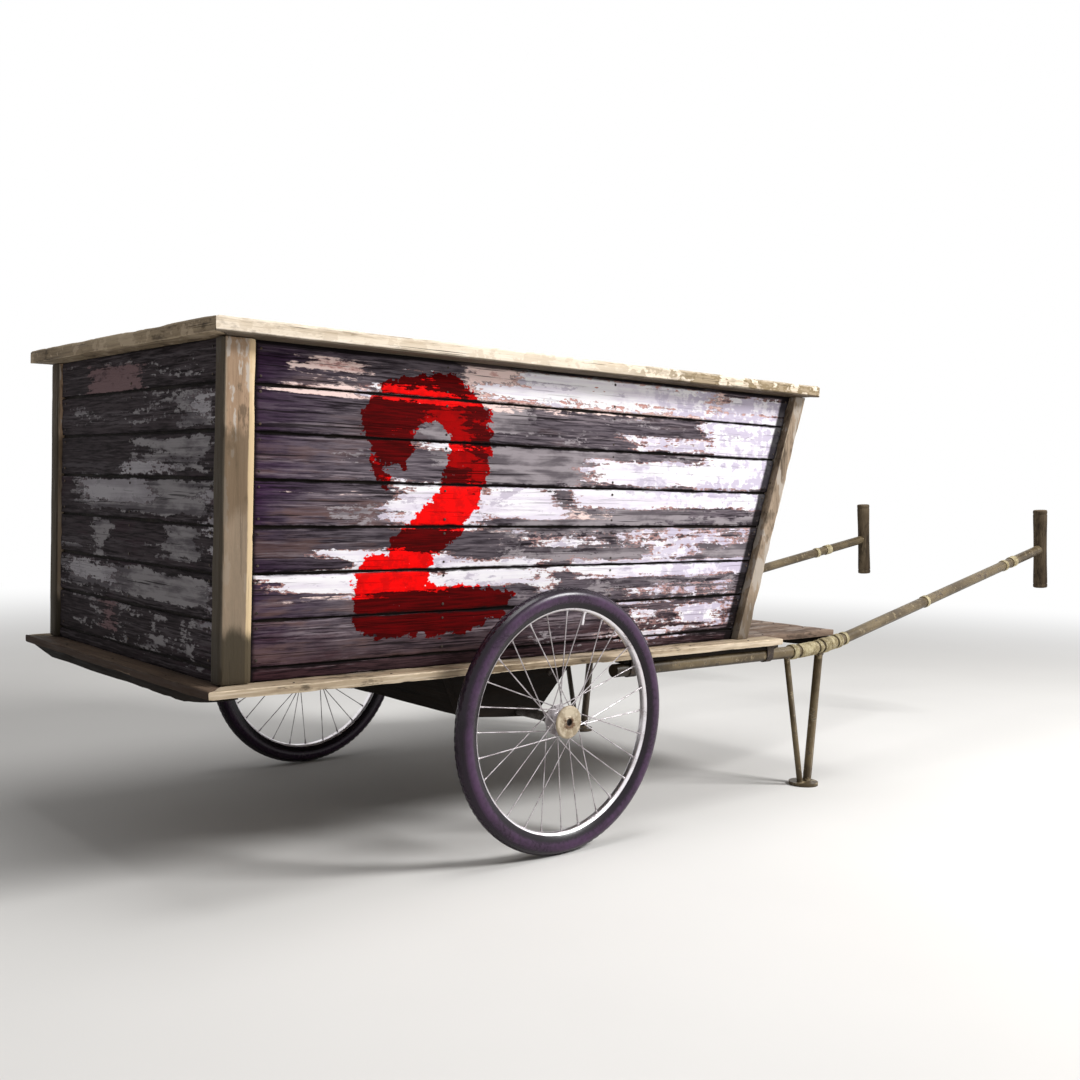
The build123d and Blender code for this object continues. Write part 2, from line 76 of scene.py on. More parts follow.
class NodeTree:
    # a node tree that starts empty, with short calls to add, set and link its nodes
    def __init__(self, tree):
        self.tree = tree
        self.tree.nodes.clear()

    def add(self, kind, inputs=None, **settings):
        node = self.tree.nodes.new(kind)
        for key, value in settings.items():
            setattr(node, key, value)
        for key, value in (inputs or {}).items():
            self.put(node.inputs[key], value)
        return node

    def put(self, socket, value):
        if isinstance(value, bpy.types.NodeSocket):
            self.tree.links.new(value, socket)
        else:
            socket.default_value = value

    def maths(self, operation, first, second=0.0):
        return self.add("ShaderNodeMath", {0: first, 1: second}, operation=operation).outputs[0]

    def times(self, first, second):
        return self.maths("MULTIPLY", first, second)

    def vector(self, operation, *values, **named):
        return self.add("ShaderNodeVectorMath", {**dict(enumerate(values)), **named}, operation=operation).outputs[0]


class Finish(NodeTree):
    # one material, with short calls for the nodes that all the finishes share
    def __init__(self, name):
        self.material = bpy.data.materials.new(name)
        self.material.use_nodes = True
        super().__init__(self.material.node_tree)
        self.output = self.add("ShaderNodeOutputMaterial")
        self.shader = self.add("ShaderNodeBsdfPrincipled")
        self.put(self.output.inputs["Surface"], self.shader.outputs[0])
        self.place = self.add("ShaderNodeTexCoord").outputs["Object"]

    def total(self, *terms):
        # each term is a value and how much it counts
        result = None
        for value, weight in terms:
            part = self.times(value, weight)
            result = part if result is None else self.maths("ADD", result, part)
        return result

    def band(self, value, low, high, start=0.0, end=1.0):
        node = self.add("ShaderNodeMapRange", {"Value": value, "From Min": low, "From Max": high,
                                               "To Min": start, "To Max": end}, interpolation_type="SMOOTHSTEP")
        return node.outputs[0]

    def blend(self, share, first, second, mode="MIX"):
        node = self.add("ShaderNodeMix", {0: share, 6: first, 7: second}, data_type="RGBA", blend_type=mode)
        return node.outputs[2]

    def cover(self, colour, other, where, share):
        # lays another colour over part of the surface, and lets some of the first show through
        return self.blend(self.times(where, share), colour, other)

    def field(self, name):
        return self.add("ShaderNodeAttribute", attribute_name=name).outputs["Fac"]

    def axis(self, letter, place=None):
        return self.add("ShaderNodeSeparateXYZ", {0: place or self.place}).outputs[letter]

    def shiftBy(self, value):
        # moves the pattern for each board, so that grain doesn't run on from one to the next
        self.place = self.vector("ADD", self.place, self.vector("SCALE", (3.1, 7.7, 5.3), Scale=value))

    def speckle(self, stretch, detail=4.0, rough=0.55, twist=0.0):
        if not hasattr(stretch, "__len__"):
            stretch = (stretch,) * 3
        spot = self.add("ShaderNodeMapping", {"Vector": self.place, "Scale": stretch}).outputs[0]
        node = self.add("ShaderNodeTexNoise", {"Vector": spot, "Scale": 1.0, "Detail": detail,
                                               "Roughness": rough, "Distortion": twist})
        return node.outputs[0]

    def relief(self, height, distance, strength):
        bump = self.add("ShaderNodeBump", {"Height": height, "Distance": distance, "Strength": strength})
        self.put(self.shader.inputs["Normal"], bump.outputs[0])

    def shade(self, **values):
        names = {"colour": "Base Color", "roughness": "Roughness", "metal": "Metallic", "gloss": "Specular IOR Level"}
        for key, value in values.items():
            self.put(self.shader.inputs[names[key]], value)


def placed(name, data):
    # a new object in the scene
    piece = bpy.data.objects.new(name, data)
    bpy.context.scene.collection.objects.link(piece)
    return piece


def aimed(place, aim):
    return Matrix.Translation(place) @ (Vector(aim) - Vector(place)).to_track_quat("-Z", "Y").to_matrix().to_4x4()


def areaLight(name, place, size, power):
    lamp = bpy.data.lights.new(name, "AREA")
    lamp.shape, lamp.size, lamp.energy = "DISK", size, power
    placed(name, lamp).matrix_world = aimed(place, studio["aim"])


def setTheStage():
    scene = bpy.context.scene
    scene.view_settings.view_transform = "Standard"
    data = bpy.data.cameras.new("camera")
    data.lens = cameraView["lens"]
    data.sensor_width = cameraView["sensor"]
    data.clip_start, data.clip_end = 0.05, 200
    camera = placed("camera", data)
    camera.matrix_world = (Matrix.Translation(cameraView["place"])
                           @ Matrix.Rotation(math.radians(-cameraView["yaw"]), 4, "Z")
                           @ Matrix.Rotation(math.radians(90 - cameraView["pitch"]), 4, "X")
                           @ Matrix.Rotation(math.radians(cameraView["roll"]), 4, "Z"))
    scene.camera = camera
    areaLight("keyLight", studio["keyPlace"], studio["keySize"], studio["keyPower"])
    areaLight("topLight", studio["topPlace"], studio["topSize"], studio["topPower"])

    world = bpy.data.worlds.new("paleRoom")
    world.use_nodes = True
    room = NodeTree(world.node_tree)
    rays = room.add("ShaderNodeLightPath").outputs
    seen = room.maths("MAXIMUM", rays["Is Camera Ray"], rays["Is Glossy Ray"])
    seen = room.maths("MAXIMUM", seen, rays["Is Transmission Ray"])
    # a plain sky for the lighting, white for what is seen
    level = room.add("ShaderNodeMapRange", {"Value": seen, "To Min": studio["skyLevel"]})
    sky = room.add("ShaderNodeBackground", {"Color": (1, 1, 1, 1), "Strength": level.outputs[0]})
    room.add("ShaderNodeOutputWorld", {"Surface": sky.outputs[0]})
    scene.world = world

    ground = Finish("paleFloor")
    far = ground.add("ShaderNodeVectorMath", {0: ground.place, 1: (axleX + 0.9, 0, 0)}, operation="DISTANCE")
    fade = ground.band(far.outputs["Value"], studio["fadeFrom"], studio["fadeTo"])
    mottle = ground.band(ground.speckle(0.9, 3), 0.3, 0.7, 0, 0.35)
    ground.shade(colour=ground.blend(mottle, studio["floorTone"], studio["floorMottle"]), roughness=0.9, gloss=0.15)
    glow = ground.add("ShaderNodeEmission", {"Color": (1, 1, 1, 1), "Strength": 1.0})
    faded = ground.add("ShaderNodeMixShader", {0: fade, 1: ground.shader.outputs[0], 2: glow.outputs[0]})
    ground.put(ground.output.inputs["Surface"], faded.outputs[0])
    mesh = bpy.data.meshes.new("floor")
    reach = studio["floorReach"]
    mesh.from_pydata([(-reach, -reach, 0), (reach, -reach, 0), (reach, reach, 0), (-reach, reach, 0)], [],
                     [(0, 1, 2, 3)])
    mesh.materials.append(ground.material)
    floor = placed("floor", mesh)


setTheStage()
print("camera, lights and floor set")


wallPlanes = {
    "side": 0.483, "rear": axleX - 0.8485, "floor": 0.471,
    "frontFoot": axleX + 0.8184, "lean": 0.3242, "frontFacing": (0.951, 0, -0.308),
}
leanStart = axleX - wallPlanes["lean"] * wallPlanes["floor"]


def leaned(height):
    # how far forward the front has leaned at a height
    return wallPlanes["lean"] * (height - wallPlanes["floor"])


def along(axis, long, across):
    # stretch of a grain pattern: long is along the boards, across is over them
    return tuple(long if index == axis else across for index in range(3))


def timberFinish(name, look):
    finish = Finish(name)
    edge = finish.field("edge")
    seat = finish.place    # before the shift for each board
    finish.shiftBy(finish.field("board"))
    axis = look["along"]
    streaks = finish.speckle(along(axis, 1.6, 26), 6, 0.62)
    fine = finish.speckle(along(axis, 9, 190), 5, 0.65)
    blotch = finish.speckle(along(axis, 5, 9), 4, 0.6)
    flecks = finish.speckle(along(axis, 42, 120), 4, 0.6)
    cracks = finish.speckle(along(axis, 3.2, 240), 2, 0.5)
    mixed = finish.total((streaks, 0.5), (fine, 0.3), (blotch, 0.2))
    colour = finish.blend(finish.band(mixed, 0.36, 0.5), look["dark"], look["middle"])
    colour = finish.blend(finish.band(mixed, 0.47, 0.62), colour, look["light"])
    blocks = finish.speckle(along(axis, look.get("blocks", 7), 24), 4, 0.6)
    blocky = finish.total((blocks, 0.6), (blotch, 0.25), (flecks, 0.15))
    if "fade" in look:    # one stretch of the board is greyer than the rest, in blocks
        start, end, other = look["fade"]
        faded = finish.band(finish.total((finish.axis("X", seat), 1), (blotch, 0.5)), start + 0.2, end + 0.3)
        colour = finish.cover(colour, other, faded, finish.band(blocky, 0.46, 0.49))
    greyed = finish.band(blocky, 0.515, 0.54)
    colour = finish.cover(colour, look["patch"], greyed, look["patches"])
    stain = finish.band(finish.total((blotch, 0.5), (blocks, 0.2), (flecks, 0.3)), 0.47, 0.4)
    colour = finish.cover(colour, look["stain"], stain, look["grime"])
    split = finish.band(cracks, 0.34, 0.29)
    colour = finish.cover(colour, look["crack"], split, 0.75)
    rubbed = finish.band(finish.total((edge, 1), (flecks, 0.008), (streaks, 0.006)),
                         *look.get("rubReach", (0.0105, 0.006)))
    colour = finish.cover(colour, look["rubbed"], rubbed, look["rub"])
    if "shadedCornerReach" in look:    # painted shade: a dark, broken band along the rounded corners inside the rubbed strip
        corner = finish.band(finish.total((edge, 1), (flecks, 0.006)), *look["shadedCornerReach"])
        colour = finish.cover(colour, look["stain"], corner, 0.85)
    for letter, start, end, share, other, wander in look.get("zones", ()):    # grimed or rubbed ends and faces, and painted shade on rear faces and undersides
        spot = finish.total((finish.axis(letter, seat), 1), (blotch, wander), (streaks, wander), (flecks, wander / 3))
        middle = wander * 7 / 6
        colour = finish.blend(finish.band(spot, start + middle, end + middle, 0, share), colour, other)
    finish.shade(colour=colour, roughness=finish.band(fine, 0.3, 0.7, 0.62, 0.85), gloss=0.1)
    finish.relief(finish.total((fine, 0.55), (streaks, 0.5), (flecks, 0.2), (split, -0.7)), 0.0016, 0.9)
    return finish.material


def peelingFinish(name, look):
    # paint in several coats over boards: bare wood, grey primer, pink undercoat, white, and red on the near side
    finish = Finish(name)
    edge = finish.field("edge")
    place, height = finish.axis("X"), finish.axis("Z")
    board = finish.field("board")
    finish.shiftBy(board)
    axis = look["along"]
    dabs = finish.speckle(40, 3, 0.6)
    streaks = finish.speckle(along(axis, 2.2, 34), 6, 0.66)
    long = finish.speckle(along(axis, 1.1, 60), 5, 0.6)
    fine = finish.speckle(along(axis, 11, 210), 5, 0.68)
    blotch = finish.speckle(along(axis, 3.5, 7), 4, 0.6, 0.4)
    flecks = finish.speckle(along(axis, 38, 95), 4, 0.62)
    crumbs = finish.speckle(along(axis, 90, 160), 3, 0.6)
    tears = finish.speckle(along(axis, 8, 30), 5, 0.6, 0.3)
    cracks = finish.speckle(along(axis, 4.0, 250), 2, 0.5)
    checks = finish.speckle(along(axis, 2.1, 105), 3, 0.55)

    rearward = finish.band(finish.total((place, 1), (blotch, 0.5), (streaks, 0.35)), *look["rearRange"])
    grained = finish.band(fine, 0.34, 0.62)
    wood, rear, low = [finish.blend(grained, look[part + "Dark"], look[part]) for part in ("wood", "rear", "low")]
    wood = finish.blend(rearward, wood, rear)
    brown = finish.band(finish.total((streaks, 0.5), (blotch, 0.5)), 0.52, 0.62)
    brown = finish.times(brown, finish.band(rearward, 0, 1, look["brownShare"], look["brownRear"]))
    brown = finish.times(brown, finish.band(height, 1.02, 0.88, look["brownHigh"], 1))
    wood = finish.blend(brown, wood, look["brown"])
    downward = finish.band(finish.total((height, 1), (blotch, 0.25), (streaks, 0.2)), 0.86, 0.7, 0, look["lowShare"])
    wood = finish.blend(downward, wood, low)
    bleached = finish.band(finish.total((long, 0.6), (fine, 0.4)), 0.53, 0.6)
    bleached = finish.times(bleached, finish.band(rearward, 0, 1, look["bleach"], look["bleachRear"]))
    wood = finish.blend(bleached, wood, look["bleached"])
    shaded = finish.band(finish.total((streaks, 0.6), (fine, 0.4)), 0.47, 0.38)
    wood = finish.cover(wood, look["crack"], shaded, 0.7)
    wood = finish.blend(1.0, wood, finish.band(board, 0, 1, 0.74, 1.04), "MULTIPLY")

    greyAt = finish.total((finish.field("paintGrey"), 1), (streaks, 1.1), (flecks, 0.7), (crumbs, 0.2),
                          (blotch, 0.6), (tears, 0.8))
    greyCoat = finish.band(greyAt, 2.15, 2.24)
    greyTone = finish.blend(finish.band(finish.total((long, 0.5), (tears, 0.5)), 0.42, 0.56), look["greyDark"],
                            look["grey"])
    pinkAt = finish.total((finish.field("paintPink"), 1), (streaks, 1.1), (long, 0.8), (fine, 0.3), (flecks, 0.5),
                          (tears, 0.6))
    pinkCoat = finish.band(pinkAt, 2.08, 2.18)
    pinkTone = finish.blend(finish.band(finish.total((flecks, 0.35), (tears, 0.3), (streaks, 0.35)), 0.41, 0.5),
                            look["pinkDark"], look["pink"])
    whiteAt = finish.total((finish.field("paintWhite"), 1), (streaks, 1.1), (flecks, 0.75), (crumbs, 0.35),
                           (long, 0.7), (fine, 0.3), (tears, 0.8))
    whiteCoat = finish.band(whiteAt, 2.44, 2.48)
    underCoat = finish.band(whiteAt, 2.34, 2.4)
    whiteTone = finish.blend(finish.band(finish.total((blotch, 0.5), (long, 0.5)), 0.44, 0.58), look["white"],
                             look["whiteShade"])
    whiteTone = finish.blend(finish.band(finish.total((tears, 0.6), (flecks, 0.4)), 0.55, 0.6, 0, 0.8), whiteTone,
                             look["whiteDull"])
    forward = finish.band(finish.total((place, 1), (blotch, 0.5), (tears, 0.4)), *look["lilacRange"])
    mottled = finish.band(finish.total((dabs, 0.35), (tears, 0.35), (streaks, 0.3)), 0.47, 0.53)
    whiteTone = finish.cover(whiteTone, look["lilac"], forward, mottled)
    scratched = finish.band(finish.total((long, 0.35), (fine, 0.35), (flecks, 0.3)), 0.405, 0.375, 0, 0.75)
    whiteTone = finish.blend(scratched, whiteTone, look["scratch"])

    colour = finish.blend(greyCoat, wood, greyTone)
    colour = finish.blend(pinkCoat, colour, pinkTone)
    primer = finish.blend(finish.band(flecks, 0.4, 0.6), look["pinkDark"], look["greyDark"])
    colour = finish.cover(colour, primer, underCoat, 0.75)
    colour = finish.blend(whiteCoat, colour, whiteTone)
    split = finish.maths("MAXIMUM", finish.band(cracks, 0.36, 0.31), finish.band(checks, 0.33, 0.28))
    openSplit = finish.times(split, finish.band(whiteCoat, 0, 1, 0.8, 0.25))
    colour = finish.blend(openSplit, colour, look["crack"])
    lift = finish.total((whiteCoat, 0.5), (underCoat, 0.25), (greyCoat, 0.25), (pinkCoat, 0.2), (fine, 0.35),
                        (flecks, 0.12), (split, -0.6))

    if look["figure"]:    # brushed numeral: bright over white paint, dark over bare wood
        inside = finish.total((finish.field("figure"), -1), (flecks, 0.022), (streaks, 0.018), (crumbs, 0.014),
                              (tears, 0.016), (dabs, 0.05))
        redCoat = finish.band(inside, 0.0585, 0.06)
        worn = finish.band(finish.total((flecks, 0.6), (fine, 0.4)), 0.655, 0.67)
        redCoat = finish.times(redCoat, finish.maths("SUBTRACT", 1.0, worn))
        light = finish.maths("MAXIMUM", whiteCoat, finish.times(pinkCoat, 0.7))
        light = finish.maths("MAXIMUM", light, finish.times(greyCoat, 0.32))
        red = finish.blend(finish.band(fine, 0.35, 0.65), look["redDeep"], look["redDark"])
        bright = finish.blend(finish.band(finish.total((dabs, 0.6), (flecks, 0.4)), 0.56, 0.42), look["red"],
                              look["redThick"])
        red = finish.blend(light, red, bright)
        red = finish.blend(openSplit, red, look["redDeep"])
        colour = finish.blend(redCoat, colour, red)
        lift = finish.total((lift, 1), (redCoat, 0.2))

    dirt = finish.band(finish.total((edge, 1), (flecks, 0.010), (streaks, 0.012), (tears, 0.010)), 0.0205, 0.0155)
    if look["figure"]:    # painted shade beside the posts and under the rail
        upright = finish.total((place, 1), (height, -wallPlanes["lean"]))    # takes the lean out of the front
        for spot, start, end in ((place, axleX - 0.764, axleX - 0.776), (height, 1.186, 1.193),
                                 (upright, leanStart + 0.741, leanStart + 0.7525)):
            grimy = finish.band(finish.total((spot, 1), (tears, 0.004), (flecks, 0.004)), start + 0.004, end + 0.004)
            dirt = finish.maths("MAXIMUM", dirt, grimy)
    # dark joints at the board edges, and on the near wall painted shade by the posts and under the rail
    colour = finish.cover(colour, look["dirt"], dirt, look["dirtAndShadeShare"])
    finish.shade(colour=colour, roughness=finish.band(whiteCoat, 0, 1, 0.8, 0.58), gloss=0.05)
    finish.relief(lift, 0.0016, 0.9)
    return finish.material


def paintedSteel(name, look):
    finish = Finish(name)
    broad = finish.speckle(look["broad"], 5, 0.62)
    spots = finish.speckle(look["spots"], 5, 0.65)
    fine = finish.speckle(look["spots"] * 5, 3, 0.6)
    colour = finish.blend(finish.band(broad, 0.38, 0.62), look["paintDark"], look["paint"])
    colour = finish.blend(finish.band(spots, 0.56, 0.64), colour, look["paintLight"])
    if "dimEnd" in look:    # painted shade where the tube runs back under the ledge
        tubeEndShade = finish.band(finish.total((finish.axis("X"), 1), (broad, 0.2)), *look["dimEnd"])
        colour = finish.cover(colour, look["grime"], tubeEndShade, 0.85)
    # painted shade: darker where a tube faces the ground
    under = finish.band(finish.total((finish.field("under"), 1), (spots, 0.3)), 0.4, 0.95, 0, 0.8)
    colour = finish.blend(under, colour, look["grime"])
    chip = finish.band(finish.total((spots, 0.6), (fine, 0.4), (broad, 0.35)), look["chips"], look["chips"] + 0.02)
    bare = finish.blend(finish.band(fine, 0.42, 0.6), look["rust"], look["bare"])
    finish.shade(colour=finish.blend(chip, colour, bare), roughness=finish.band(chip, 0, 1, look["sheen"], 0.7),
                 metal=finish.times(chip, 0.35), gloss=0.22)
    finish.relief(finish.total((chip, -0.6), (fine, 0.25), (spots, 0.3)), 0.0007, 0.8)
    return finish.material


def bareSteel(name, look):
    finish = Finish(name)
    broad = finish.speckle(look["broad"], 4, 0.6)
    fine = finish.speckle(look["broad"] * 14, 4, 0.65)
    dull = finish.band(finish.total((broad, 0.6), (fine, 0.4)), *look["dullRange"])
    colour = finish.blend(dull, look["clean"], look["dull"])
    finish.shade(colour=colour, roughness=finish.band(dull, 0, 1, look["smooth"], look["smooth"] + 0.3),
                 metal=finish.band(dull, 0, 1, 1, look["dullMetal"]), gloss=0.5)
    finish.relief(finish.total((fine, 0.4), (dull, 0.4)), 0.0003, 0.5)
    return finish.material


def rubberFinish():
    look = {
        "black": tone(12, 8, 12), "dust": tone(74, 49, 78), "scuffAndSheen": tone(58, 46, 58),
        # distances from the wheel's axis
        "shadedSidewallEdges": ((0.313, 0.3245), (0.303, 0.2915)), "tread": (0.3255, 0.3290), "bead": (0.296, 0.290),
    }
    finish = Finish("dustyRubber")
    broad = finish.speckle(6, 5, 0.6)
    fine = finish.speckle(95, 4, 0.65)
    out = finish.field("around")
    # dust and painted sheen: a lighter purple band on the sidewall, with painted shade darkening it towards the outer
    # and inner edges for the tyre's round
    sheenAndDustShare = finish.band(finish.total((broad, 0.65), (fine, 0.35)), 0.36, 0.6, 0.35, 1)
    sheenAndDustShare = finish.times(sheenAndDustShare, finish.field("dust"))
    for start, end in look["shadedSidewallEdges"]:
        sheenAndDustShare = finish.times(sheenAndDustShare, finish.band(finish.total((out, 1), (fine, 0.003)), start, end, 1, 0.2))
    colour = finish.blend(sheenAndDustShare, look["black"], look["dust"])
    # scuff and painted highlight: lighter on the tread
    sheenAndScuffShare = finish.band(fine, 0.4, 0.6, 0.1, 0.5)
    colour = finish.cover(colour, look["scuffAndSheen"], finish.band(out, *look["tread"]), sheenAndScuffShare)
    # painted shade: darker towards the bead
    colour = finish.cover(colour, look["black"], finish.band(out, *look["bead"]), 0.5)
    finish.shade(colour=colour, roughness=finish.band(sheenAndDustShare, 0, 1, 0.24, 0.33), gloss=0.28)
    finish.relief(finish.total((fine, 0.4), (broad, 0.2)), 0.0003, 0.5)
    return finish.material


def capFinish():
    look = {"cream": tone(196, 182, 158), "creamDark": tone(150, 134, 110), "rust": tone(96, 66, 40),
            "hole": tone(56, 40, 26), "holeEdge": (0.0105, 0.0088), "grimeFrom": (0.0375, 0.0425)}
    finish = Finish("creamCap")
    out = finish.field("around")
    broad = finish.speckle(40, 5, 0.6)
    fine = finish.speckle(420, 4, 0.65)
    colour = finish.blend(finish.band(broad, 0.4, 0.62), look["cream"], look["creamDark"])
    blotched = finish.total((out, -12), (broad, 0.5), (fine, 0.4))
    colour = finish.blend(finish.band(blotched, 0.22, 0.32), colour, look["rust"])
    chip = finish.band(finish.total((fine, 0.6), (broad, 0.4)), 0.62, 0.64)
    colour = finish.blend(chip, colour, look["rust"])
    grimy = finish.band(finish.total((out, 1), (fine, 0.004)), *look["grimeFrom"])
    colour = finish.cover(colour, look["creamDark"], grimy, 0.7)
    colour = finish.blend(finish.band(out, *look["holeEdge"]), colour, look["hole"])
    finish.shade(colour=colour, roughness=0.5, gloss=0.4)
    finish.relief(finish.total((chip, -0.5), (fine, 0.2)), 0.0004, 0.7)
    return finish.material


plankLook = {
    "along": 0, "figure": True,
    "rearRange": (-0.98, -1.36),
    "wood": tone(106, 97, 104), "woodDark": tone(60, 53, 60),
    "rear": tone(55, 32, 60), "rearDark": tone(33, 17, 38),
    "low": tone(67, 43, 45), "lowDark": tone(26, 13, 15), "lowShare": 0.88,
    "brown": tone(110, 82, 76), "brownShare": 0.55, "brownRear": 0.36, "brownHigh": 0.5,
    "bleached": tone(144, 132, 138), "bleach": 0.6, "bleachRear": 0.07,
    "grey": tone(148, 140, 144), "greyDark": tone(94, 87, 92),
    "pink": tone(238, 212, 206), "pinkDark": tone(196, 146, 138),
    "white": tone(241, 238, 241), "whiteShade": tone(222, 214, 226), "whiteDull": tone(184, 174, 190),
    "lilacRange": (-0.28, 0.15), "lilac": tone(194, 185, 203), "scratch": tone(112, 102, 112),
    "red": tone(240, 0, 0), "redThick": tone(208, 2, 2), "redDark": tone(92, 0, 2), "redDeep": tone(56, 0, 0),
    "crack": tone(20, 15, 17), "dirt": tone(16, 12, 13), "dirtAndShadeShare": 0.95,
}
sideLook = dict(plankLook, figure=False)
endLook = dict(plankLook, figure=False, along=1)
# the rear wall: weathered, greyer paint, with every tone darkened further as painted shade
rearShadeLook = dict(
    plankLook, along=1, figure=False, rearRange=(-9, -10),    # ranges that the wall never reaches
    low=tone(44, 37, 38), lowDark=tone(21, 16, 17), lowShare=0.6,
    wood=tone(66, 59, 62), woodDark=tone(32, 27, 29), brown=tone(58, 43, 50), brownShare=0.6,
    bleached=tone(92, 86, 90), bleach=0.5, grey=tone(132, 128, 130), greyDark=tone(84, 79, 83),
    pink=tone(112, 91, 93), pinkDark=tone(80, 65, 69), white=tone(152, 148, 152), whiteShade=tone(128, 123, 128),
    whiteDull=tone(116, 111, 116), lilacRange=(9, 10), scratch=tone(80, 76, 80))
paleLook = {
    "along": 2, "light": tone(206, 180, 152), "middle": tone(172, 148, 124), "dark": tone(112, 94, 76),
    "stain": tone(64, 55, 44), "grime": 0.6, "crack": tone(36, 30, 23), "rub": 0.85, "rubbed": tone(240, 222, 194),
    "patch": tone(188, 178, 168), "patches": 0.85,
}
postLook = dict(paleLook, light=tone(186, 158, 132), middle=tone(158, 132, 108), dark=tone(98, 82, 62),
                rubReach=(0.0175, 0.0115), shadedCornerReach=(0.0075, 0.005), rub=0.45, rubbed=tone(214, 196, 172),
                zones=(("Z", 1.02, 0.99, 0.8, tone(100, 85, 67), 0.06),
                       ("Z", 0.86, 0.79, 0.36, tone(176, 158, 138), 0.14),
                       ("X", axleX - 0.803, axleX - 0.799, 0.75, tone(232, 205, 162), 0.006),
                       ("Z", 0.595, 0.560, 0.92, tone(58, 52, 41), 0.05),
                       # painted shade on the post's face turned to the rear
                       ("X", axleX - 0.8525, axleX - 0.8565, 0.93, tone(66, 60, 52), 0.003)))
frontPostLook = dict(paleLook, light=tone(166, 148, 128), middle=tone(138, 121, 103), dark=tone(92, 79, 66),
                     rubbed=tone(200, 183, 158), patches=0.85, patch=tone(168, 158, 147),
                     zones=(("Z", 0.62, 0.54, 0.6, tone(64, 55, 44), 0.03),))
railLook = dict(paleLook, along=0, light=tone(242, 229, 212), middle=tone(226, 211, 190), dark=tone(160, 141, 117),
                stain=tone(120, 103, 82), grime=0.4, rubbed=tone(246, 235, 218), rub=0.6, patches=0.4,
                patch=tone(190, 172, 148), blocks=17,
                fade=(axleX + 0.07, axleX + 0.5, tone(138, 121, 94)),
                # painted shade along the rail's underside
                zones=(("Z", 1.206, 1.2025, 0.9, tone(58, 46, 34), 0.003),))
# painted shade: a darker copy of the rail's pale wood, for the rails across the ends
railEndShadeLook = dict(railLook, along=1, light=tone(170, 154, 130), middle=tone(136, 120, 98), dark=tone(92, 78, 62),
                   stain=tone(58, 48, 38), grime=0.7, rubbed=tone(188, 170, 144), zones=())
ledgeLook = dict(paleLook, along=0, light=tone(206, 190, 168), middle=tone(168, 150, 126), dark=tone(108, 92, 72),
                 grime=0.7, patches=0)
# painted shade: a darker copy of the ledge's wood for the rear ledge, its rear face darker still
ledgeRearShadeLook = dict(ledgeLook, along=1, light=tone(116, 98, 82), middle=tone(84, 69, 58), dark=tone(48, 38, 32),
                     rubbed=tone(170, 150, 126), rubReach=(0.007, 0.004),
                     zones=(("X", axleX - 0.9035, axleX - 0.9055, 0.9, tone(50, 38, 31), 0.001),))
deckLook = dict(paleLook, along=0, light=tone(142, 122, 106), middle=tone(110, 92, 80), dark=tone(70, 57, 48),
                stain=tone(50, 41, 35), rubbed=tone(156, 138, 120), rub=0.5, patches=0.3)
# dark timber of the under-frame and cleats, darkened further as painted shade
underShadeLook = dict(paleLook, along=1, light=tone(34, 27, 22), middle=tone(22, 17, 13), dark=tone(13, 10, 8),
                 stain=tone(9, 7, 6), rubbed=tone(48, 39, 31), rub=0.4, crack=tone(5, 4, 4), patches=0)
gripLook = dict(paleLook, along=2, light=tone(98, 86, 69), middle=tone(72, 61, 47), dark=tone(44, 35, 26),
                stain=tone(34, 27, 21), rubbed=tone(124, 107, 88), rub=0.5, patches=0)
khakiLook = {
    "paint": tone(107, 93, 69), "paintDark": tone(76, 64, 46), "paintLight": tone(140, 125, 98),
    "rust": tone(76, 52, 34), "bare": tone(88, 82, 74), "broad": 7, "spots": 46, "chips": 0.76, "sheen": 0.42,
    "dimEnd": (axleX + 0.62, axleX + 0.44), "grime": tone(40, 33, 25),
}
plainLook = {key: value for key, value in khakiLook.items() if key != "dimEnd"}
